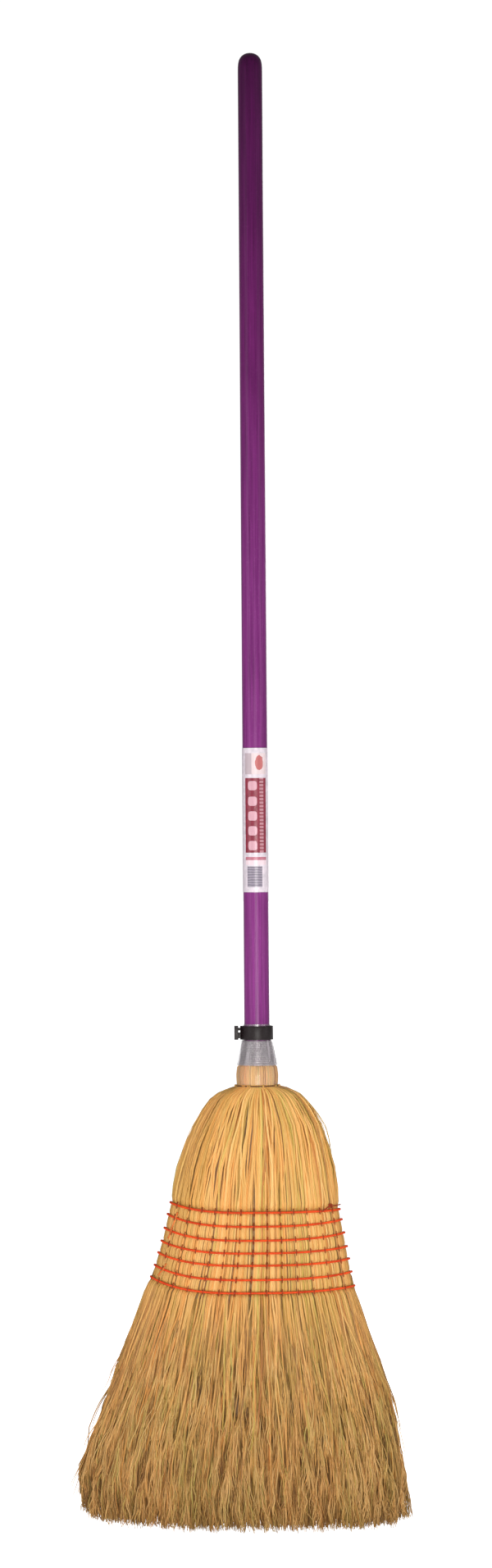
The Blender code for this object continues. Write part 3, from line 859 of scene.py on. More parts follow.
@dataclass(frozen=True)
class HeadForm:
    """The outline of the straw head, in millimetres of height, and where it is sewn.

    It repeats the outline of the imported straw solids, but is a little fuller round the neck and
    narrower at the left of the lowest three stations.

    Each station is (height, centre x, half width, half thickness, exponent of its outline).
    Each row is (height at the middle, lift at the left end, lift at the right end).
    """

    stations: tuple[tuple[float, ...], ...] = (
        (462.0, 0.0, 13.2, 13.2, 2.0),
        (441.7, 0.0, 16.6, 16.6, 2.0),
        (441.0, 0.0, 19.2, 19.2, 2.0),
        (436.0, 0.0, 20.0, 20.0, 2.0),
        (425.2, 0.0, 20.8, 20.8, 2.0),
        (424.6, 0.0, 19.7, 19.7, 2.0),
        (421.8, 0.0, 19.9, 19.9, 2.0),
        (420.4, 1.4, 28.0, 21.5, 2.0),
        (417.0, 1.0, 37.0, 23.5, 2.05),
        (412.0, 0.5, 44.5, 25.0, 2.1),
        (398.0, 0.3, 54.3, 26.5, 2.15),
        (383.0, 0.2, 62.8, 26.5, 2.2),
        (367.0, -1.2, 68.6, 26.0, 2.25),
        (345.0, -2.4, 74.4, 25.0, 2.3),
        (320.0, -3.3, 79.4, 23.8, 2.3),
        (303.0, -4.0, 83.0, 22.8, 2.3),
        (277.0, -4.6, 88.6, 21.8, 2.3),
        (250.0, -6.2, 94.8, 21.0, 2.3),
        (227.0, -8.0, 101.0, 20.5, 2.3),
        (218.0, -8.3, 103.6, 21.0, 2.3),
        (182.0, -9.6, 117.0, 24.0, 2.3),
        (132.0, -10.8, 134.6, 27.5, 2.3),
        (89.0, -13.9, 147.4, 30.5, 2.35),
        (51.0, -15.3, 153.8, 32.0, 2.4),
        (0.0, -13.5, 155.0, 33.0, 2.4),
    )
    rows: tuple[tuple[float, float, float], ...] = (
        (303.4, 9.2, 1.5),
        (290.2, 11.3, 5.0),
        (276.9, 11.5, 5.8),
        (264.8, 11.4, 4.8),
        (253.1, 12.0, 4.8),
        (239.5, 13.8, 6.0),
        (227.0, 15.2, 5.2),
    )
    split: float = 218.7
    split_lifts: tuple[float, float] = (15.0, 5.0)
    lift_power: float = 2.5
    pinch: float = 2.4
    pinch_reach: float = 2.9
    columns: tuple[float, ...] = tuple(round(-0.9 + 0.15 * i, 4) for i in range(13))

    def read(self, height: np.ndarray) -> tuple[np.ndarray, ...]:
        """Centre x, half width, half thickness and exponent at each height."""
        table = np.array(self.stations)[::-1]
        return tuple(np.interp(height, table[:, 0], table[:, k]) for k in (1, 2, 3, 4))

    def lift(self, height: np.ndarray, share: np.ndarray) -> np.ndarray:
        """How much higher a level line runs at a share of the half width.

        Args:
            height: level heights at the middle.
            share: shares of the half width, -1 at the left edge.

        Returns:
            The lifts in millimetres.
        """
        levels = [(0.0, 0.0, 0.0), (90.0, 3.0, 1.0), (self.split, *self.split_lifts)]
        levels += list(self.rows[::-1]) + [(318.0, 5.0, 0.8), (345.0, 0.0, 0.0), (470.0, 0.0, 0.0)]
        table = np.array(levels)
        left = np.interp(height, table[:, 0], table[:, 1])
        right = np.interp(height, table[:, 0], table[:, 2])
        return np.where(share < 0, left, right) * np.abs(share) ** self.lift_power

    def pinched(self, height: np.ndarray) -> np.ndarray:
        """How deep the binding twine pulls the straw in at each level."""
        total = np.zeros_like(height)
        for at, _, _ in self.rows:
            total = np.maximum(total, np.exp(-(((height - at) / self.pinch_reach) ** 2)))
        return self.pinch * total

    def edge_slack(self, share: np.ndarray, height: np.ndarray) -> np.ndarray:
        """How far the straw falls short of the outline at the two side edges of the sewn part."""
        edge = np.clip((np.abs(share) - 0.80) / 0.20, 0.0, 1.0) ** 1.5
        sewn = np.clip((height - 216.0) / 10.0, 0.0, 1.0) * np.clip((318.0 - height) / 12.0, 0.0, 1.0)
        return edge * sewn * (1.5 - 0.95 * self.pinched(height) / self.pinch)

    def bottom(self, share: np.ndarray) -> np.ndarray:
        """Height of the cut ends at a share of the half width."""
        left = 9.0 * np.clip((-0.30 - share) / 0.70, 0.0, None)
        far_left = 5.0 * np.clip((-0.88 - share) / 0.12, 0.0, None) ** 1.3
        right = 3.0 * np.clip((share - 0.70) / 0.30, 0.0, None)
        far_right = 6.0 * np.clip((share - 0.90) / 0.10, 0.0, None) ** 1.3
        return left + far_left + right + far_right

    def point(
        self, turn: np.ndarray, height: np.ndarray, inset: np.ndarray, aside: float = 1.0
    ) -> np.ndarray:
        """Points on the outline, moved inwards.

        Args:
            turn: angle round the outline, 0 at the right edge and pi/2 at the back.
            height: level heights.
            inset: how far inside, in millimetres.
            aside: how much of that counts across the head.

        Returns:
            An array of points in millimetres, with the lift of the level added.
        """
        turn, height, inset = np.broadcast_arrays(turn, height, inset)
        share = np.cos(turn)
        z = height + self.lift(height, share)
        centre, half_width, half_thick, power = self.read(z)
        bend = 2.0 / power
        across = np.sign(share) * np.abs(share) ** bend
        through = np.sign(np.sin(turn)) * np.abs(np.sin(turn)) ** bend
        x = centre + (half_width - aside * inset) * across
        y = (half_thick - inset) * through
        return np.stack([x, y, z], axis=-1)

    def evenly(self, count: int, low: float, high: float, height: float) -> np.ndarray:
        """Angles spaced evenly along the outline between two angles.

        Args:
            count: how many.
            low: first angle.
            high: last angle.
            height: the level at which they are even.

        Returns:
            The angles.
        """
        fine = np.linspace(low, high, 4000)
        points = self.point(fine, np.full(4000, height), np.zeros(4000))
        steps = np.linalg.norm(np.diff(points, axis=0), axis=1)
        run = np.concatenate([[0.0], np.cumsum(steps)])
        return np.interp((np.arange(count) + 0.5) / count * run[-1], run, fine)


@dataclass
class Bundle:
    """Many thin closed straws of one length pattern, ready to become faces.

    Lines are middle lines in millimetres (straws, levels, 3); radii, tone and run are (straws, levels),
    and tint is one value for each straw.
    """

    lines: np.ndarray
    radii: np.ndarray
    sides: int
    tone: np.ndarray
    tint: np.ndarray

    def cut(self, start: int, end: int) -> "Bundle":
        """The same straws between two levels."""
        keep = slice(start, end)
        return Bundle(self.lines[:, keep], self.radii[:, keep], self.sides, self.tone[:, keep], self.tint)

    def corners(self) -> np.ndarray:
        """The points round every straw at every level, in metres."""
        lines, radii = self.lines, self.radii
        along = np.gradient(lines, axis=1)
        along /= np.linalg.norm(along, axis=2, keepdims=True) + 1e-12
        outwards = lines * np.array([0.25, 1.0, 0.0])
        outwards /= np.linalg.norm(outwards, axis=2, keepdims=True) + 1e-12
        beside = np.cross(along, outwards)
        beside /= np.linalg.norm(beside, axis=2, keepdims=True) + 1e-12
        facing = np.cross(beside, along)
        start = np.linspace(0.0, 5.0, len(lines))[:, None]
        points = np.empty((*radii.shape, self.sides, 3))
        for k in range(self.sides):
            turn = start + math.tau * k / self.sides
            swing = np.cos(turn)[..., None] * beside + np.sin(turn)[..., None] * facing
            points[:, :, k] = lines + radii[..., None] * swing
        return points * MM

    def faces(self) -> tuple[np.ndarray, np.ndarray]:
        """Corner numbers of all faces in a row, and how many corners each face has."""
        straws, levels = self.radii.shape
        index = np.arange(straws * levels * self.sides).reshape(straws, levels, self.sides)
        after = np.roll(index, -1, axis=2)
        quads = np.stack([index[:, :-1], after[:, :-1], after[:, 1:], index[:, 1:]], axis=-1).reshape(-1, 4)
        caps = np.concatenate([index[:, 0, ::-1], index[:, -1]], axis=0)
        loops = np.concatenate([quads.ravel(), caps.ravel()])
        return loops, np.concatenate([np.full(len(quads), 4), np.full(len(caps), self.sides)])


def straw_mesh(name: str, bundles: Sequence[Bundle]) -> bpy.types.Object:
    """One mesh of many thin straws. They number thousands, so they are laid out in arrays.

    Args:
        name: the object's name.
        bundles: the straws.

    Returns:
        The object, with the attributes tone, tint and run.
    """
    points, loops, totals, held = [], [], [], {"tone": [], "tint": [], "run": []}
    base = 0
    for bundle in bundles:
        corners = bundle.corners()
        flat, sizes = bundle.faces()
        points.append(corners.reshape(-1, 3))
        loops.append(flat + base)
        totals.append(sizes)
        base += len(points[-1])
        shape = corners.shape[:3]
        run = np.clip((330.0 - bundle.lines[..., 2]) / 330.0, 0.0, 1.0) ** 0.8
        for label, values in (("tone", bundle.tone), ("tint", bundle.tint[:, None]), ("run", run)):
            held[label].append(np.broadcast_to(values[..., None], shape).ravel())
    every, sizes = np.concatenate(loops), np.concatenate(totals)
    data = bpy.data.meshes.new(name)
    data.vertices.add(base)
    data.vertices.foreach_set("co", np.concatenate(points).astype(np.float32).ravel())
    data.loops.add(len(every))
    data.loops.foreach_set("vertex_index", every.astype(np.int32))
    data.polygons.add(len(sizes))
    data.polygons.foreach_set("loop_start", np.concatenate([[0], np.cumsum(sizes)[:-1]]).astype(np.int32))
    data.update(calc_edges=True)
    data.validate()
    for label, values in held.items():
        flat = np.concatenate(values).astype(np.float32)
        data.attributes.new(label, "FLOAT", "POINT").data.foreach_set("value", flat)
    data.shade_smooth()
    made = bpy.data.objects.new(name, data)
    bpy.context.scene.collection.objects.link(made)
    return made


class Clumps:
    """Smooth sideways shifts that gather straws into bunches and open gaps between them."""

    def __init__(
        self, dice: np.random.Generator, width: Span, length: Span, size: float, waves: int = 7
    ) -> None:
        """Rolls the waves.

        Args:
            dice: seeded random numbers.
            width: narrowest and widest bunch in millimetres.
            length: how far down the straw a bunch keeps its shape, shortest and longest.
            size: usual shift in millimetres.
            waves: how many waves add up.
        """
        self.across = math.tau / dice.uniform(*width, waves)
        self.along = math.tau / dice.uniform(*length, waves) * dice.choice([-1.0, 1.0], waves)
        self.start = dice.uniform(0, math.tau, waves)
        self.size = size / math.sqrt(waves / 2)

    def shift(self, around: np.ndarray, height: np.ndarray) -> np.ndarray:
        """The shift at places round the head.

        Args:
            around: place across the head in millimetres.
            height: height in millimetres.

        Returns:
            The shifts in millimetres.
        """
        total = np.zeros(np.broadcast_shapes(around.shape, height.shape))
        for across, along, start in zip(self.across, self.along, self.start):
            total += np.sin(across * around + along * height + start)
        return self.size * total


class Side(enum.Enum):
    """Half of the head, as the range of angles round its outline."""

    FRONT = (math.pi, math.tau)
    BACK = (0.0, math.pi)


@dataclass
class StrawHead:
    """All the straw: thick stems from the neck, fine fibres to the floor, and what lies under them."""

    form: HeadForm
    seed: int = 11
    stems_per_side: int = 168
    stem_radius: Span = (0.8, 1.5)
    fibres_per_side: int = 1150
    fibre_radius: Span = (0.36, 0.62)
    tips_per_side: int = 2100
    tip_radius: Span = (0.38, 0.78)
    inner_fibres: int = 2200
    half_run: float = 95.0
    back_start: float = 500.0
    bend_start: float = 0.222
    bend_end: float = 0.120

    def __post_init__(self) -> None:
        """Sets the seeded dice and the bunches that all the straw shares."""
        self.dice = np.random.default_rng(self.seed)
        self.bunches = Clumps(self.dice, (8.0, 17.0), (90.0, 200.0), 1.0)
        self.grooves = Clumps(self.dice, (7.0, 16.0), (80.0, 180.0), 1.0)
        self.locks = Clumps(self.dice, (5.0, 9.5), (50.0, 130.0), 1.0)
        self.column_depth = self.dice.uniform(0.25, 1.0, len(self.form.columns))
        self.column_depth[len(self.form.columns) // 2] = 1.5

    def _share(self, turn: np.ndarray, height: np.ndarray) -> np.ndarray:
        """Share of the half width at angles and heights."""
        across = np.broadcast_to(np.cos(turn), height.shape)
        return np.sign(across) * np.abs(across) ** (2.0 / self.form.read(height)[3])

    def _around(self, share: np.ndarray, side: Side) -> np.ndarray:
        """Place across the head in millimetres, with the back numbered on from the front."""
        return share * self.half_run + (self.back_start if side is Side.BACK else 0.0)

    def _cut(self, share: np.ndarray, side: Side) -> np.ndarray:
        """Height of the cut ends, a little shorter between the bunches."""
        around = self._around(share, side)
        short = 1.9 * np.clip(self.grooves.shift(around, np.array(20.0)) + 0.4, 0.0, None)
        short += 1.5 * np.clip(self.locks.shift(around, np.array(20.0)) + 0.2, 0.0, None)
        return self.form.bottom(share) + short

    def _painted_bunch_shade(self, around: np.ndarray, heights: np.ndarray) -> np.ndarray:
        """Painted shade: how much darker a free straw is drawn for lying between bunches, or lighter, as
        painted light, on top of one.
        """
        mixed = self.locks.shift(around, heights) + 0.7 * self.grooves.shift(around, heights)
        return 0.085 * np.clip(mixed, -1.2, 2.0) * np.clip((205.0 - heights) / 60.0, 0.0, 1.0)

    def _creases(self, turn: np.ndarray, height: np.ndarray) -> np.ndarray:
        """How far sideways, in millimetres, straws lie from their even places beside a stitch."""
        across = self._share(turn, height)
        columns = np.array(self.form.columns)
        apart = across[..., None] - columns
        near = np.abs(apart).argmin(axis=-1)
        gap = np.take_along_axis(apart, near[..., None], axis=-1)[..., 0] * self.form.read(height)[1]
        push = np.sign(gap) * np.clip(1.7 - np.abs(gap), 0.0, None) * 0.6 * self.column_depth[near]
        reach = np.clip((345.0 - height) / 30.0, 0.0, 1.0) * np.clip((height - 190.0) / 30.0, 0.0, 1.0)
        return push * reach

    def _stem_levels(self) -> tuple[np.ndarray, int, int]:
        """Heights at which a stem has points, and the numbers of the first and last sewn row."""
        upper = [444.0, 440.5, 433.0, 424.6, 422.5, 420.4, 416.0]
        upper += [410.0, 400.0, 386.0, 368.0, 346.0, 325.0, 312.0]
        sewn: list[float] = []
        rows = [row[0] for row in self.form.rows]
        for at, after in zip(rows, rows[1:]):
            sewn += [at, at - 3.0, after + 3.0]
        sewn.append(rows[-1])
        lower = [221.0, 213.0, 200.0, 180.0, 155.0, 127.0, 97.0, 65.0, 30.0]
        return np.array(upper + sewn + lower), len(upper), len(upper) + len(sewn) - 1

    def stems(self, side: Side) -> bpy.types.Object:
        """The thick outer stems of one side, from under the wire to below the sewing.

        Args:
            side: front or back.

        Returns:
            The mesh.
        """
        dice, form = self.dice, self.form
        count = self.stems_per_side
        levels, first, last = self._stem_levels()
        turn = form.evenly(count, *side.value, 330.0) + dice.normal(0, 0.006, count)
        heights = np.broadcast_to(levels, (count, len(levels))).copy()
        end = dice.uniform(30.0, 150.0, count)
        low = levels < 200.0
        heights[:, low] = 200.0 + (levels[low] - 200.0) * ((200.0 - end) / 170.0)[:, None]
        drift = dice.normal(0, 0.030, count)[:, None] * np.clip((heights - 330.0) / 90.0, 0.0, 1.2)
        swirl = dice.normal(0, 0.035, count)[:, None] * np.clip((215.0 - heights) / 150.0, 0.0, 1.0)
        turns = turn[:, None] + drift + swirl
        radius = dice.uniform(*self.stem_radius, count)[:, None] * np.ones_like(heights)
        thick_at = [30.0, 120.0, 230.0, 380.0, 425.0, 444.0]
        radius *= np.interp(heights, thick_at, [0.35, 0.7, 0.95, 1.0, 0.8, 0.7])
        rank = dice.integers(0, 3, count)[:, None]
        crowd = np.interp(heights, [225.0, 305.0, 345.0, 400.0, 441.0], [0.35, 0.3, 0.9, 1.0, 1.0])
        inset = radius + rank * crowd * 0.7 + dice.uniform(0, 0.3, count)[:, None]
        inset += np.clip((215.0 - heights) / 60.0, 0, 1) * dice.uniform(0, 3.0, count)[:, None]
        across = self._share(turns, heights)
        inset += form.pinched(heights) + form.edge_slack(across, heights)
        around = self._around(across, side)
        loose_at = [120.0, 215.0, 228.0, 303.0, 318.0, 350.0, 400.0, 424.0]
        loose = np.interp(heights, loose_at, [1.5, 0.9, 0.25, 0.25, 0.8, 1.3, 1.0, 0])
        lines = form.point(turns, heights, inset)
        size = dice.normal(0, 1, (count, 1))
        length = dice.uniform(12, 34, (count, 1))
        sway = size * np.sin(heights / length + dice.uniform(0, 6, (count, 1)))
        loose = loose * np.where(rank > 0, 0.3, 1.0)
        wander = self.bunches.shift(around, heights) + 0.42 * sway
        lines[..., 0] += self._creases(turns, heights) + loose * wander
        own = dice.normal(0.66, 0.17, count)
        stained = dice.uniform(0, 1, count) < 0.07
        tone = np.clip(own - 0.30 * stained, 0, 1)[:, None]
        # Painted shade: stems lying deeper (higher rank) are drawn darker. Stems are also drawn darker below
        # the lowest row.
        tone = np.clip(tone - 0.09 * rank * crowd - 0.16 * np.clip((226.0 - heights) / 30.0, 0, 1), 0, 1)
        whole = Bundle(lines, radius, 4, tone, dice.uniform(0, 1, count))
        parts = [whole.cut(0, first + 1), whole.cut(first, last + 1), whole.cut(last, len(levels))]
        return straw_mesh("stems_" + side.name.lower(), parts)

    def _layers(self, turns: np.ndarray, heights: np.ndarray, layer: np.ndarray, side: Side) -> np.ndarray:
        """How deep free fibres lie: under the stems at the top, looser and grooved further down.

        Args:
            turns: angles round the outline.
            heights: heights of the points.
            layer: 0 for outer fibres, 1 for inner ones.
            side: front or back.

        Returns:
            The depths in millimetres.
        """
        under = np.interp(heights, [150.0, 198.0, 212.0, 240.0], [0.3, 0.7, 2.8, 4.4])
        spread = np.interp(heights, [0.0, 60.0, 205.0], [8.0, 5.5, 1.6])
        around = self._around(self._share(turns, heights), side)
        groove = np.clip(self.grooves.shift(around, heights), 0.0, None)
        groove = groove * np.interp(heights, [60.0, 205.0], [2.0, 0.4])
        parting = np.clip(self.locks.shift(around, heights) + 0.1, 0.0, None)
        groove = groove + parting * np.interp(heights, [110.0, 205.0], [3.6, 0.3])
        return under + layer * spread + groove + self.form.pinched(heights) * (heights > 219.0)

    def fibres(self, side: Side) -> bpy.types.Object:
        """The long fibres of one side, which take over from the stems and reach the floor.

        Args:
            side: front or back.

        Returns:
            The mesh.
        """
        dice, form = self.dice, self.form
        count = self.fibres_per_side
        steps = np.linspace(0, 1, 16)
        turn = form.evenly(count, *side.value, 120.0) + dice.normal(0, 0.006, count)
        share = self._share(turn, np.full(count, 30.0))
        tip = self._cut(share, side) + np.abs(dice.normal(0, 4.5, count))
        tip = tip + dice.choice([0, 0, 0, 0, 9.0, 22.0], count)
        top = dice.uniform(226.0, 240.0, count)
        heights = top[:, None] + (tip - top)[:, None] * steps
        taper = np.interp(steps, [0, 0.1, 0.7, 1], [0.8, 1.1, 1.0, 0.45])
        radius = dice.uniform(*self.fibre_radius, count)[:, None] * taper
        layer = dice.uniform(0, 1, count)[:, None] ** 1.3
        fallen = np.clip((205.0 - heights) / 200.0, 0, 1)
        turns = turn[:, None] + dice.normal(0, 0.030, count)[:, None] * fallen
        depth = self._layers(turns, heights, layer, side)
        lines = form.point(turns, heights, radius + depth, 0.4)
        loose = np.clip((214.0 - heights) / 110.0, 0.0, 1.6)
        around = self._around(self._share(turns, heights), side)
        length, start = dice.uniform(34, 80, (count, 1)), dice.uniform(0, math.tau, (count, 1))
        curl = dice.uniform(0.2, 1.0, (count, 1)) * np.sin(math.tau * heights / length + start)
        lock = self.locks.shift(around - 1.8, heights) * np.clip((190.0 - heights) / 90.0, 0.0, 1.0)
        lines[..., 0] += loose * (1.4 * self.bunches.shift(around, heights) + curl) + 0.8 * lock
        lines[..., 1] += loose * 0.6 * dice.normal(0, 1, (count, 1)) * steps
        # The fibres are drawn lighter towards the bottom.
        lighter_lower = np.interp(heights, [60.0, 130.0, 240.0], [0.80, 0.66, 0.58])
        # Painted shade: fibres lying deeper, under the stems and in the grooves between bunches, are drawn
        # darker.
        tone = dice.normal(0.0, 0.23, count)[:, None] + lighter_lower - 0.07 * depth
        tone = np.clip(tone - self._painted_bunch_shade(around, heights), 0, 1)
        bundle = Bundle(lines, radius, 3, tone, dice.uniform(0, 1, count))
        return straw_mesh("fibres_" + side.name.lower(), [bundle])

    def tips(self, side: Side) -> bpy.types.Object:
        """The short crimped branches of one side that roughen the lower half.

        Args:
            side: front or back.

        Returns:
            The mesh.
        """
        dice, form = self.dice, self.form
        count = self.tips_per_side
        steps = np.linspace(0, 1, 13)
        turn = form.evenly(count, *side.value, 60.0)[dice.permutation(count)] + dice.normal(0, 0.004, count)
        share = self._share(turn, np.full(count, 30.0))
        top = 205.0 - 165.0 * dice.uniform(0, 1, count) ** 0.75
        reach = dice.uniform(38.0, 88.0, count)
        floor = self._cut(share, side) + np.abs(dice.normal(0, 5.0, count))
        low = np.maximum(top - reach, floor)
        heights = top[:, None] + (low - top)[:, None] * steps
        taper = np.interp(steps, [0, 0.15, 0.7, 1], [0.6, 1.0, 0.9, 0.4])
        radius = dice.uniform(*self.tip_radius, count)[:, None] * taper
        layer = dice.uniform(-0.12, 0.6, count)[:, None]
        turns = np.broadcast_to(turn[:, None], heights.shape)
        depth = self._layers(turns, heights, layer, side)
        lines = form.point(turns, heights, radius + depth, 0.4)
        fan = dice.normal(0.72, 0.25, count)[:, None]
        fallen = top[:, None] - heights
        lines[..., 0] = lines[:, :1, 0] + (lines[..., 0] - lines[:, :1, 0]) * fan
        steady = np.where(np.abs(share) > 0.93, 0.5, 1.0)[:, None]
        slant = np.clip(dice.normal(0, 0.060, (count, 1)), -0.11, 0.11) * steady
        lines[..., 0] += slant * fallen
        length = (top - low)[:, None] * dice.uniform(0.34, 0.9, (count, 1))
        start = dice.uniform(0, math.tau, (count, 1))
        around = self._around(self._share(turns, heights), side)
        free = np.clip((190.0 - heights) / 90.0, 0.0, 1.0)
        lines[..., 0] += self.locks.shift(around - 1.8, heights) * free
        rough = np.interp(heights, [40.0, 190.0], [1.0, 0.45])
        rough = rough * np.interp(steps, [0, 0.4, 1], [0.2, 0.8, 1.5])
        wave = math.tau * fallen / length + start
        lines[..., 0] += rough * dice.uniform(0.3, 1.8, (count, 1)) * np.sin(wave)
        lines[..., 1] += rough * dice.uniform(0.2, 0.9, (count, 1)) * np.cos(wave)
        # The tips are drawn lighter towards the bottom.
        lighter_lower = np.interp(heights, [40.0, 190.0], [1.02, 0.80])
        # Painted shade: tips lying deeper, in the grooves between bunches, are drawn darker.
        tone = dice.normal(0.0, 0.25, count)[:, None] + lighter_lower - 0.09 * depth
        tone = np.clip(tone - self._painted_bunch_shade(around, heights), 0, 1)
        bundle = Bundle(lines, radius, 3, tone, dice.uniform(0, 1, count))
        return straw_mesh("tips_" + side.name.lower(), [bundle])

    def inner(self) -> bpy.types.Object:
        """Fibres inside the free end, so that the cut bottom is full.

        Returns:
            The mesh.
        """
        dice, form = self.dice, self.form
        count = self.inner_fibres
        turn = dice.uniform(0, math.tau, count)
        reach = np.sqrt(dice.uniform(0.0, 1.0, count))
        tip = form.bottom(np.cos(turn) * reach) + 2.5 + np.abs(dice.normal(0, 4.0, count))
        steps = np.linspace(0, 1, 6)
        top = dice.uniform(80.0, 112.0, count)
        heights = top[:, None] + (tip - top)[:, None] * steps
        edge = form.point(turn[:, None], heights, np.full(heights.shape, 5.0))
        centre = form.read(edge[..., 2])[0]
        lines = edge.copy()
        lines[..., 0] = centre + (edge[..., 0] - centre) * reach[:, None]
        lines[..., 1] *= reach[:, None]
        lines[..., 2] = heights
        lines[..., :2] += dice.normal(0, 1.3, (count, 1, 2)) * steps[:, None] ** 2
        lines[..., :2] += dice.normal(0, 0.4, (*heights.shape, 2)) * steps[:, None]
        radius = dice.uniform(0.45, 0.8, count)[:, None] * np.interp(steps, [0, 0.7, 1], [1, 1, 0.5])
        # Painted shade: the inner fibres take a darker tone than the outer ones, for the shade inside the
        # free end.
        tone = np.broadcast_to(np.clip(dice.normal(0.34, 0.2, count), 0, 1)[:, None], heights.shape)
        return straw_mesh("inner_fibres", [Bundle(lines, radius, 3, tone, dice.uniform(0, 1, count))])

    def _over_tie(self) -> Bundle:
        """Short straws that leave the sleeve outside the tie and settle on the shoulder."""
        dice, form = self.dice, self.form
        count = 34
        turn = np.sort(dice.uniform(0, math.tau, count))[:, None]
        levels = np.array([424.3, 423.3, 421.6, 419.2, 415.0, 408.0, 398.0, 384.0, 366.0])
        heights = np.broadcast_to(levels, (count, len(levels)))
        inset_at = [366.0, 400.0, 415.0, 419.2, 421.6, 423.3, 424.3]
        inset = np.interp(levels, inset_at, [2.2, 0.5, -0.1, -0.2, 0.2, -2.1, -1.4])
        lines = form.point(turn, heights, np.broadcast_to(inset, heights.shape))
        taper = np.interp(levels, [366.0, 410.0, 424.3], [0.7, 1.0, 0.6])
        radius = dice.uniform(0.5, 0.85, (count, 1)) * taper
        tone = np.broadcast_to(dice.uniform(0.5, 0.9, (count, 1)), heights.shape)
        return Bundle(lines, radius, 4, tone, dice.uniform(0, 1, count))

    def strays(self) -> bpy.types.Object:
        """Straws that stand out from the neck, the shoulders and the lower corners.

        Returns:
            The mesh.
        """
        dice, form = self.dice, self.form
        shapes = []
        steps = np.linspace(0, 1, 13)
        for turn, high, low, out in (
            (-0.20, 418.0, 352.0, 4.5),
            (-0.30, 415.0, 362.0, 3.6),
            (-0.12, 412.0, 340.0, 3.0),
            (0.10, 410.0, 350.0, 3.4),
            (math.pi + 0.15, 412.0, 348.0, 2.2),
            (math.pi + 0.06, 112.0, 34.0, 13.5),
            (math.pi + 0.12, 104.0, 42.0, 10.5),
            (math.pi - 0.04, 98.0, 36.0, 16.0),
            (math.pi + 0.02, 90.0, 26.0, 9.5),
            (math.pi + 0.09, 84.0, 30.0, 12.5),
            (math.pi - 0.08, 120.0, 28.0, 6.2),
            (math.pi + 0.20, 110.0, 18.0, 6.2),
            (-0.05, 110.0, 16.0, 3.6),
            (0.12, 120.0, 22.0, 4.0),
            (0.02, 150.0, 60.0, 4.5),
        ):
            bulge = out * (np.sin(math.pi * steps) if high > 300 else steps**2)
            shapes.append(form.point(np.full(13, turn), high + (low - high) * steps, 1.0 - bulge))
        lines = np.array(shapes)
        count = len(lines)
        radius = dice.uniform(0.26, 0.4, count)[:, None] * np.interp(steps, [0, 0.8, 1], [1, 0.9, 0.3])
        tone = np.broadcast_to(dice.uniform(0.4, 0.9, (count, 1)), radius.shape)
        loose = Bundle(lines, radius, 3, tone, dice.uniform(0, 1, count))
        return straw_mesh("stray_straws", [loose, self._over_tie()])

    def bed(self) -> bpy.types.Object:
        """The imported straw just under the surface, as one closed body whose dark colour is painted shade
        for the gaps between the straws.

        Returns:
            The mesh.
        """
        form = self.form
        neck = [457.0, 442.0, 440.5, 426.0, 424.0, 421.5, 419.0, 416.0]
        shoulder = [412.0, 407.0, 402.0, 398.0, 390.0, 383.0, 367.0, 345.0, 325.0]
        sewn, free = np.linspace(312.0, 205.0, 36), np.linspace(190.0, 62.0, 9)
        levels = np.concatenate([neck, shoulder, sewn, free])
        around = np.linspace(0, math.tau, 96, endpoint=False)
        heights, turns = np.meshgrid(levels, around, indexing="ij")
        depth_at = [62.0, 190.0, 212.0, 228.0, 303.0, 345.0, 418.0, 440.0, 457.0]
        depth = np.interp(heights, depth_at, [11, 6.2, 5.0, 2.3, 2.3, 3.4, 3.0, 1.5, 1.0])
        inset = depth + form.pinched(heights) + form.edge_slack(self._share(turns, heights), heights)
        points = form.point(turns, heights, inset) * MM
        rings, sides = points.shape[:2]
        mesh = bmesh.new()
        grid = [[mesh.verts.new(Vector(points[i, j])) for j in range(sides)] for i in range(rings)]
        for i in range(rings - 1):
            for j in range(sides):
                after = (j + 1) % sides
                mesh.faces.new((grid[i][j], grid[i + 1][j], grid[i + 1][after], grid[i][after]))
        mesh.faces.new(list(reversed(grid[0])))
        mesh.faces.new(grid[-1])
        bmesh.ops.recalc_face_normals(mesh, faces=mesh.faces)
        data = bpy.data.meshes.new("straw_bed")
        mesh.to_mesh(data)
        mesh.free()
        data.shade_smooth()
        made = bpy.data.objects.new("straw_bed", data)
        bpy.context.scene.collection.objects.link(made)
        return made

    def _set(self, piece: bpy.types.Object, look: bpy.types.Material, *nodes: str) -> None:
        """Dresses a straw piece: gives it its material, puts its place into its mesh and hides the solids it
        stands for.

        Args:
            piece: the mesh.
            look: its material.
            nodes: the solids it stands for.
        """
        piece.data.materials.append(look)
        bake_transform(piece)
        if nodes:
            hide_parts(*nodes)
        LOG.info("%s: %d faces", piece.name, len(piece.data.polygons))

    def build(self, stem: bpy.types.Material, fibre: bpy.types.Material, bed: bpy.types.Material) -> None:
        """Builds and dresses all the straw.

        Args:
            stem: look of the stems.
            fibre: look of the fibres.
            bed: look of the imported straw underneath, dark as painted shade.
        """
        bundles = [f"{part}_{place}" for part in ("straw", "skirt") for place in ("core", "left", "right")]
        self._set(self.bed(), bed, *bundles)
        self._set(self.stems(Side.FRONT), stem, "straw_cover_front")
        self._set(self.stems(Side.BACK), stem, "straw_cover_back")
        self._set(self.fibres(Side.FRONT), fibre, "skirt_cover_front")
        self._set(self.fibres(Side.BACK), fibre, "skirt_cover_back")
        self._set(self.tips(Side.FRONT), fibre)
        self._set(self.tips(Side.BACK), fibre)
        self._set(self.inner(), fibre)
        self._set(self.strays(), stem)


# ------------------------------------------------------------------------------------------------
# Twine, neck, handle and clip
# ------------------------------------------------------------------------------------------------


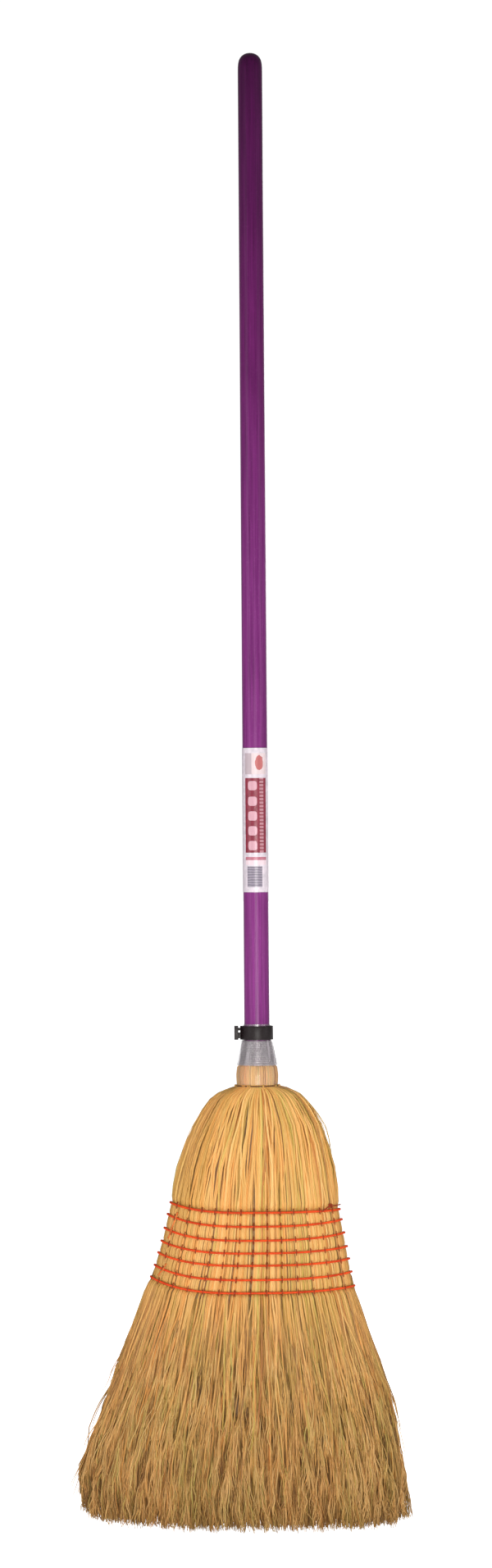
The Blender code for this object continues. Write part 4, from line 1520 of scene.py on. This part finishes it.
def twisted(path: np.ndarray, apart: float, pitch: float, plies: int, loop: bool) -> list[np.ndarray]:
    """The middle lines of plies twisted round a path.

    Args:
        path: closely spaced points.
        apart: distance of each ply from the path.
        pitch: length of one twist.
        plies: how many.
        loop: whether the path's ends meet.

    Returns:
        One array of points for each ply.
    """
    steps = np.linalg.norm(np.diff(path, axis=0), axis=1)
    run = np.concatenate([[0.0], np.cumsum(steps)])
    if loop:
        whole = run[-1] + np.linalg.norm(path[0] - path[-1])
        pitch = whole / max(1, round(whole / pitch))
    along = np.gradient(path, axis=0)
    if loop:
        along[0] = path[1] - path[-1]
        along[-1] = path[0] - path[-2]
    along /= np.linalg.norm(along, axis=1, keepdims=True) + 1e-12
    helper = np.where(np.abs(along[:, 2:3]) < 0.8, np.array([[0.0, 0.0, 1.0]]), np.array([[1.0, 0.0, 0.0]]))
    side_way = np.cross(along, helper)
    side_way /= np.linalg.norm(side_way, axis=1, keepdims=True) + 1e-12
    other_way = np.cross(along, side_way)
    made = []
    for ply in range(plies):
        turn = math.tau * (run / pitch + ply / plies)
        made.append(path + apart * (np.cos(turn)[:, None] * side_way + np.sin(turn)[:, None] * other_way))
    return made


def resample(path: np.ndarray, spacing: float, loop: bool) -> np.ndarray:
    """Points evenly spaced along a path.

    Args:
        path: corner points.
        spacing: distance between the new points.
        loop: whether the path's ends meet.

    Returns:
        The new points.
    """
    corners = np.vstack([path, path[:1]]) if loop else path
    run = np.concatenate([[0.0], np.cumsum(np.linalg.norm(np.diff(corners, axis=0), axis=1))])
    count = max(4, int(run[-1] / spacing))
    at = np.linspace(0, run[-1], count, endpoint=not loop)
    return np.stack([np.interp(at, run, corners[:, k]) for k in range(3)], axis=1)


def rounded(path: np.ndarray, passes: int, loop: bool) -> np.ndarray:
    """Softens the corners of a path by averaging neighbours."""
    made = path.copy()
    for _ in range(passes):
        before = np.roll(made, 1, axis=0)
        after = np.roll(made, -1, axis=0)
        softer = 0.25 * before + 0.5 * made + 0.25 * after
        if not loop:
            softer[0], softer[-1] = made[0], made[-1]
        made = softer
    return made


@dataclass
class TwineWork:
    """The orange twine: a binding round each row, its stitches, the links and the knot."""

    form: HeadForm
    binding_radius: float = 1.1
    stitch_radius: float = 0.60
    stitch_half: float = 3.2
    seat: float = 1.35

    def _ring(self, number: int, out: float, count: int = 720) -> np.ndarray:
        """Points round the pinched straw of a row, moved outwards, in millimetres."""
        height = self.form.rows[number][0]
        turn = self.form.evenly(count, 0.0, math.tau, height)
        return self.form.point(turn, np.full(count, height), np.full(count, self.form.pinch - out))

    def binding(self, number: int, look: bpy.types.Material) -> None:
        """The three-ply twine that binds one row.

        Args:
            number: the row, from 0 at the top.
            look: the twine's material.
        """
        path = resample(self._ring(number, self.seat), 0.85, True)
        plies = twisted(path, 0.52, 6.4, 3, True)
        pieces = [curve_piece("ply", ply * MM, 0.62 * MM, 1, True) for ply in plies]
        name = f"binding_{number + 1}"
        dress(join_pieces(name, pieces), look, "broom", f"binding_twine_{number + 1}")

    def _stitch_at(self, number: int, share: float, side: int, rise: float) -> np.ndarray:
        """A point of the sewing twine outside the binding, in millimetres."""
        height, left, right = self.form.rows[number]
        middle = height + (left if share < 0 else right) * abs(share) ** self.form.lift_power
        z = middle + rise
        centre, half_width, half_thick, power = (float(v) for v in self.form.read(np.array(z)))
        depth = half_thick * (1 - abs(share) ** power) ** (1 / power)
        slope = abs(share) ** (power - 1) * (depth / half_thick) ** (1 - power) * half_thick / half_width
        over = self.seat + self.binding_radius + self.stitch_radius - 0.1 if abs(rise) < 2.0 else 0.9
        out = over * math.sqrt(1 + slope**2)
        return np.array([centre + half_width * share, side * (depth - self.form.pinch + out), z])

    def sewing(self, number: int, look: bpy.types.Material) -> None:
        """The sewing twine of one row: short stitches in front, slanting ones behind.

        Args:
            number: the row, from 0 at the top.
            look: the twine's material.
        """
        rise = self.stitch_half
        corners = []
        for share in self.form.columns:
            for side, up in ((1, -rise), (-1, -rise), (-1, 0.0), (-1, rise), (1, rise), (1, 0.0)):
                corners.append(self._stitch_at(number, share, side, up))
        path = resample(np.array(corners), 0.9, False)
        path = rounded(path, 2, False)
        plies = twisted(path, 0.30, 4.6, 2, False)
        pieces = [curve_piece("ply", ply * MM, 0.34 * MM, 1) for ply in plies]
        name = f"sewing_{number + 1}"
        dress(join_pieces(name, pieces), look, "broom", f"sewing_twine_{number + 1}")

    def _edge_point(self, height_mm: float, share: float, out: float) -> np.ndarray:
        """A point on the left front of the sewn straw, moved outwards."""
        turn = math.tau - math.acos(share)
        pinch = self.form.pinched(np.array([height_mm]))
        return self.form.point(np.array([turn]), np.array([height_mm]), pinch - out)[0]

    def links(self, look: bpy.types.Material) -> None:
        """Twine carried down the left edge between rows.

        Args:
            look: the twine's material.
        """
        rows = [row[0] for row in self.form.rows]
        for name, first, last in (("upper", 0, 3), ("lower", 4, 6)):
            corners = []
            start = (rows[first] + rows[first + 1]) / 2
            end = (rows[last - 1] + rows[last]) / 2
            for share, height in zip(
                np.linspace(-0.84, -0.89, 13), np.linspace(start, end, 13)
            ):
                over = 3.4 if min(abs(height - row) for row in rows) < 3.0 else 1.9
                corners.append(self._edge_point(height, float(share), over))
            corners = np.array(corners)
            tuck = np.array([[0.0, 7.0, 0.0]])
            path = np.vstack([corners[:1] + tuck, corners, corners[-1:] + tuck])
            path = rounded(resample(path, 0.8, False), 2, False)
            plies = twisted(path, 0.34, 4.0, 2, False)
            pieces = [curve_piece("ply", ply * MM, 0.42 * MM, 1) for ply in plies]
            dress(join_pieces(f"link_{name}", pieces), look, "broom", f"link_twine_{name}")

    def knot(self, look: bpy.types.Material) -> None:
        """The tied end above the first row, with two short tails.

        Args:
            look: the twine's material.
        """
        row = self.form.rows[0][0]
        middle = self._edge_point(row + 5.2, 0.845, 2.0)
        turn = np.radians(np.linspace(15, 345, 60))
        loop = 0.62 * np.stack(
            [
                np.sin(turn) + 2 * np.sin(2 * turn),
                -1.5 * np.sin(3 * turn),
                np.cos(turn) - 2 * np.cos(2 * turn),
            ],
            axis=1,
        )
        shares = (0.99, 0.965, 0.93, 0.89)
        right = [self._edge_point(row + 5.0 - 0.25 * i, share, 1.0) for i, share in enumerate(shares)]
        left = [self._edge_point(row + 2.6, 0.80, 2.4), self._edge_point(row - 0.4, 0.74, 2.9)]
        path = np.vstack([right, loop + middle, left])
        path = rounded(resample(path, 0.45, False), 3, False)
        plies = twisted(path, 0.34, 4.0, 2, False)
        pieces = [curve_piece("ply", ply * MM, 0.40 * MM, 1) for ply in plies]
        dress(join_pieces("knot", pieces), look, "broom", "twine_knot")

    def build(self, bind: bpy.types.Material, sew: bpy.types.Material, link: bpy.types.Material) -> None:
        """Builds all the twine.

        Args:
            bind: look of the binding twine.
            sew: look of the stitches.
            link: look of the links between rows.
        """
        for number in range(len(self.form.rows)):
            self.binding(number, bind)
            self.sewing(number, sew)
        self.links(link)
        self.knot(sew)


@dataclass
class Neck:
    """The clear sleeve, the wound wire with its nail, and the tie."""

    sleeve: tuple[tuple[float, float], ...] = (
        (424.5, 21.6),
        (430.0, 21.4),
        (436.0, 20.9),
        (443.0, 19.7),
        (449.0, 18.6),
        (455.0, 17.4),
        (460.0, 16.4),
        (464.0, 15.7),
        (466.1, 15.3),
        (466.55, 14.6),
        (466.75, 13.05),
        (474.0, 13.0),
        (481.6, 13.0),
    )
    film: float = 0.0005
    pleats: int = 17
    wire_radius: float = 0.65
    wire_pitch: float = 1.36

    def build_sleeve(self, look: bpy.types.Material) -> None:
        """The film tube, lightly pleated where the clip gathers it.

        Args:
            look: its material.
        """
        profile = [(height * MM, radius * MM) for height, radius in self.sleeve]
        tube = raise_rings(profile, False, 120, "sleeve")
        dice = random.Random(5)
        folds = [
            (dice.uniform(0, math.tau), dice.randint(5, self.pleats), dice.uniform(0.3, 1.0))
            for _ in range(5)
        ]
        for point in tube.data.vertices:
            turn = math.atan2(point.co.y, point.co.x)
            deep = sum(size * math.cos(number * turn + start) for start, number, size in folds) / 5
            share = max(0.0, min(1.0, (0.4660 - point.co.z) / 0.02))
            away = 1.0 + 0.012 * deep * share
            point.co.x *= away
            point.co.y *= away
        apply_modifier(tube, "SOLIDIFY", thickness=self.film, offset=-1.0)
        smooth(tube, 50.0)
        dress(tube, look, "broom", "neck_sleeve")

    def build_wire(self, look: bpy.types.Material) -> None:
        """The wire wound side by side down the straw ends.

        Args:
            look: its material.
        """
        top, bottom = 465.9, 442.8
        turns = (top - bottom) / self.wire_pitch
        count = int(turns * 48)
        share = np.linspace(0, 1, count)
        turn = math.tau * turns * share
        height = top + (bottom - top) * share
        radius = np.interp(height, [441.7, 462.0, 465.0], [17.35, 14.25, 13.45])
        path = np.stack([radius * np.cos(turn), radius * np.sin(turn), height], axis=1)
        dress(curve_piece("winding", path * MM, self.wire_radius * MM, 2), look, "broom", "winding_wire")

    def build_nail(self, look: bpy.types.Material) -> None:
        """The nail at the back that holds the wire's end.

        Args:
            look: its material.
        """
        nail = copy_of_node("wire_nail", "nail")
        apply_modifier(nail, "BEVEL", width=0.00015, segments=2, limit_method="ANGLE")
        smooth(nail, 40.0)
        dress(nail, look, "broom", "wire_nail")

    def build_tie(self, look: bpy.types.Material) -> None:
        """The dark tie below the sleeve, two turns of thin twine.

        Args:
            look: its material.
        """
        turn = np.linspace(0, math.tau, 160, endpoint=False)
        ring = np.stack([20.6 * np.cos(turn), 20.6 * np.sin(turn), 423.2 + 0.2 * np.sin(turn)], axis=1)
        plies = twisted(ring, 0.34, 5.0, 2, True)
        pieces = [curve_piece("ply", ply * MM, 0.40 * MM, 1, True) for ply in plies]
        dress(join_pieces("tie", pieces), look, "broom", "neck_tie")


@dataclass
class Handle:
    """The turned and painted stick, and the label round it."""

    rings: tuple[tuple[float, float], ...] = (
        (0.3180, 0.0020),
        (0.3190, 0.0034),
        (0.3230, 0.0050),
        (0.4300, 0.0098),
        (0.4410, 0.0104),
        (0.4660, 0.0120),
        (0.4900, 0.01205),
        (0.9500, 0.0118),
        (1.2000, 0.0117),
        (1.3860, 0.01163),
        (1.3915, 0.01156),
        (1.3950, 0.01125),
        (1.3980, 0.0106),
        (1.4003, 0.0095),
        (1.4022, 0.0079),
        (1.4036, 0.0060),
        (1.4045, 0.0040),
        (1.4049, 0.0020),
    )
    sides: int = 72

    def build(self, look: bpy.types.Material) -> None:
        """Builds the stick.

        Args:
            look: its lacquer.
        """
        stick = raise_rings(self.rings, True, self.sides, "stick")
        smooth(stick, 50.0)
        dress(stick, look, "broom", "handle")

    def build_label(self, look: bpy.types.Material) -> None:
        """Wraps the label, with its seam at the back.

        Args:
            look: its print.
        """
        deselect()
        bpy.ops.mesh.primitive_cylinder_add(
            vertices=120, radius=0.01222, depth=0.137, end_fill_type="NOTHING", location=(0, 0, 0.6755)
        )
        wrap = start_edit("label_wrap")
        bpy.ops.mesh.select_mode(type="FACE")
        bpy.ops.mesh.select_all(action="DESELECT")
        bpy.ops.object.mode_set(mode="OBJECT")
        for face in wrap.data.polygons:
            face.select = face.center.y > 0 and abs(face.center.x) < 0.0009
        bpy.ops.object.mode_set(mode="EDIT")
        bpy.ops.mesh.delete(type="FACE")
        close_edit(wrap)
        apply_modifier(wrap, "SOLIDIFY", thickness=0.00018, offset=1.0)
        smooth(wrap, 50.0)
        dress(wrap, look, "broom", "label")


@dataclass
class HoseClip:
    """The nylon clip, its moulded edges softened."""

    edge: float = 0.0003
    corner: float = 32.0

    def build(self, look: bpy.types.Material) -> None:
        """Softens the edges of the solid and dresses it.

        Args:
            look: its nylon.
        """
        clip = copy_of_node("hose_clip", "clip")
        corner = math.radians(self.corner)
        apply_modifier(
            clip, "BEVEL", width=self.edge, segments=2, limit_method="ANGLE", angle_limit=corner
        )
        smooth(clip, self.corner)
        dress(clip, look, "broom", "hose_clip")


# ------------------------------------------------------------------------------------------------
# Studio
# ------------------------------------------------------------------------------------------------


@dataclass
class Studio:
    """Floor, lights and camera."""

    centre: Colour = (-0.0087, 0.0, 0.7098)
    frame_height: float = 1.4914
    lens: float = 135.0
    roll_degrees: float = 0.42

    def floor(self) -> None:
        """A wide pale floor, bright enough to meet the background."""
        deselect()
        bpy.ops.mesh.primitive_plane_add(size=60.0, location=(0, 0, -0.0004))
        ground = bpy.context.active_object
        ground.name = "floor"
        made, mix, shader = start_material("pale_floor")
        shader.inputs["Base Color"].default_value = (0.9, 0.9, 0.9, 1.0)
        shader.inputs["Roughness"].default_value = 0.9
        shader.inputs["Emission Color"].default_value = (1.0, 1.0, 1.0, 1.0)
        path = mix.add("ShaderNodeLightPath")
        seen = mix.math("MULTIPLY", path.outputs["Is Camera Ray"], 0.80)
        mix.feed(mix.math("ADD", seen, 0.28), shader.inputs["Emission Strength"])
        ground.data.materials.append(made)

    def world(self) -> None:
        """A white surround that lights the object less than it shows."""
        world = bpy.data.worlds.new("studio")
        bpy.context.scene.world = world
        world.use_nodes = True
        mix = Recipe(world.node_tree)
        ground = world.node_tree.nodes["Background"]
        ground.inputs["Color"].default_value = (1.0, 1.0, 1.0, 1.0)
        path = mix.add("ShaderNodeLightPath")
        seen = mix.math("MULTIPLY", path.outputs["Is Camera Ray"], 0.75)
        mix.feed(mix.math("ADD", seen, 0.30), ground.inputs["Strength"])

    def lamp(self, name: str, place: Colour, aim: Colour, size: float, power: float, tint: Colour) -> None:
        """One soft area lamp.

        Args:
            name: its name.
            place: where it stands.
            aim: the point it faces.
            size: side of its square.
            power: watts.
            tint: its colour.
        """
        lamp = bpy.data.lights.new(name, "AREA")
        lamp.shape = "SQUARE"
        lamp.size = size
        lamp.energy = power
        lamp.color = tint
        made = bpy.data.objects.new(name, lamp)
        made.location = place
        made.rotation_mode = "QUATERNION"
        made.rotation_quaternion = (Vector(aim) - Vector(place)).to_track_quat("-Z", "Y")
        made.visible_camera = False
        bpy.context.scene.collection.objects.link(made)

    def camera(self) -> None:
        """A long lens square to the front of the broom."""
        data = bpy.data.cameras.new("camera")
        data.lens = self.lens
        data.sensor_width = 36.0
        back = self.frame_height / 36.0 * self.lens
        data.clip_end = 100.0
        made = bpy.data.objects.new("camera", data)
        made.location = (self.centre[0], self.centre[1] - back, self.centre[2])
        made.rotation_euler = (math.pi / 2, math.radians(self.roll_degrees), 0.0)
        bpy.context.scene.collection.objects.link(made)
        bpy.context.scene.camera = made

    def build(self) -> None:
        """Sets up the whole studio."""
        bpy.context.scene.view_settings.view_transform = "Standard"
        self.floor()
        self.world()
        self.lamp("front", (0.08, -1.5, 0.36), (0, 0, 0.26), 0.6, 14.0, (1.0, 0.98, 0.95))
        self.lamp("left", (-2.2, -1.6, 0.8), (0, 0, 0.3), 1.2, 12.0, (1.0, 1.0, 1.0))
        self.lamp("right", (2.4, -1.2, 0.7), (0, 0, 0.3), 1.2, 9.0, (1.0, 1.0, 1.0))
        self.lamp("back", (0.6, 2.4, 1.0), (0, 0, 0.5), 1.2, 15.0, (1.0, 1.0, 1.0))
        self.camera()


def main() -> None:
    """Builds the broom and the studio, and reports each piece."""
    logging.basicConfig(level=logging.INFO, format="%(message)s")
    shared = SharedEffects()
    form = HeadForm()

    handle = Handle()
    handle.build(LacquerFinish().make(shared))
    handle.build_label(LabelFinish().make())
    HoseClip().build(NylonFinish().make(shared))

    zinc = ZincWireFinish().make(shared)
    neck = Neck()
    neck.build_sleeve(ClearFilmFinish().make())
    neck.build_wire(zinc)
    neck.build_nail(zinc)
    neck.build_tie(TwineFinish("brown_twine", (0.06, 0.025, 0.012), (0.20, 0.09, 0.045)).make(shared))

    golden = (
        (0.12, (0.26, 0.110, 0.025)),
        (0.36, (0.54, 0.265, 0.068)),
        (0.52, (0.71, 0.372, 0.094)),
        (0.68, (0.80, 0.450, 0.136)),
        (0.86, (0.88, 0.555, 0.208)),
    )
    dull = (
        (0.12, (0.150, 0.064, 0.012)),
        (0.36, (0.370, 0.178, 0.040)),
        (0.52, (0.550, 0.288, 0.072)),
        (0.68, (0.690, 0.392, 0.115)),
        (0.86, (0.810, 0.512, 0.190)),
    )
    # Painted shade: the straw bed takes these dark tones so that the gaps between the straws read as shade.
    dark = ((0.3, (0.120, 0.050, 0.013)), (0.7, (0.300, 0.150, 0.045)))
    untinted = ((0.0, (1.0, 1.0, 1.0)), (1.0, (1.0, 1.0, 1.0)))
    head = StrawHead(form)
    head.build(
        StrawFinish(StrawPart.STEM, golden).make(shared),
        StrawFinish(StrawPart.FIBRE, dull).make(shared),
        StrawFinish(StrawPart.BED, dark, tip_share=0.3, tints=untinted).make(shared),
    )

    TwineWork(form).build(
        TwineFinish("orange_twine", (0.50, 0.030, 0.003), (0.86, 0.085, 0.008)).make(shared),
        # Painted shade: the stitches and the knot take a darker copy of the orange twine, for the shade
        # where the stitches sink into the straw.
        TwineFinish("orange_stitches", (0.16, 0.020, 0.006), (0.40, 0.055, 0.014)).make(shared),
        TwineFinish("orange_links", (0.58, 0.100, 0.015), (0.86, 0.260, 0.060)).make(shared),
    )
    Studio().build()


if __name__ == "__main__":
    main()
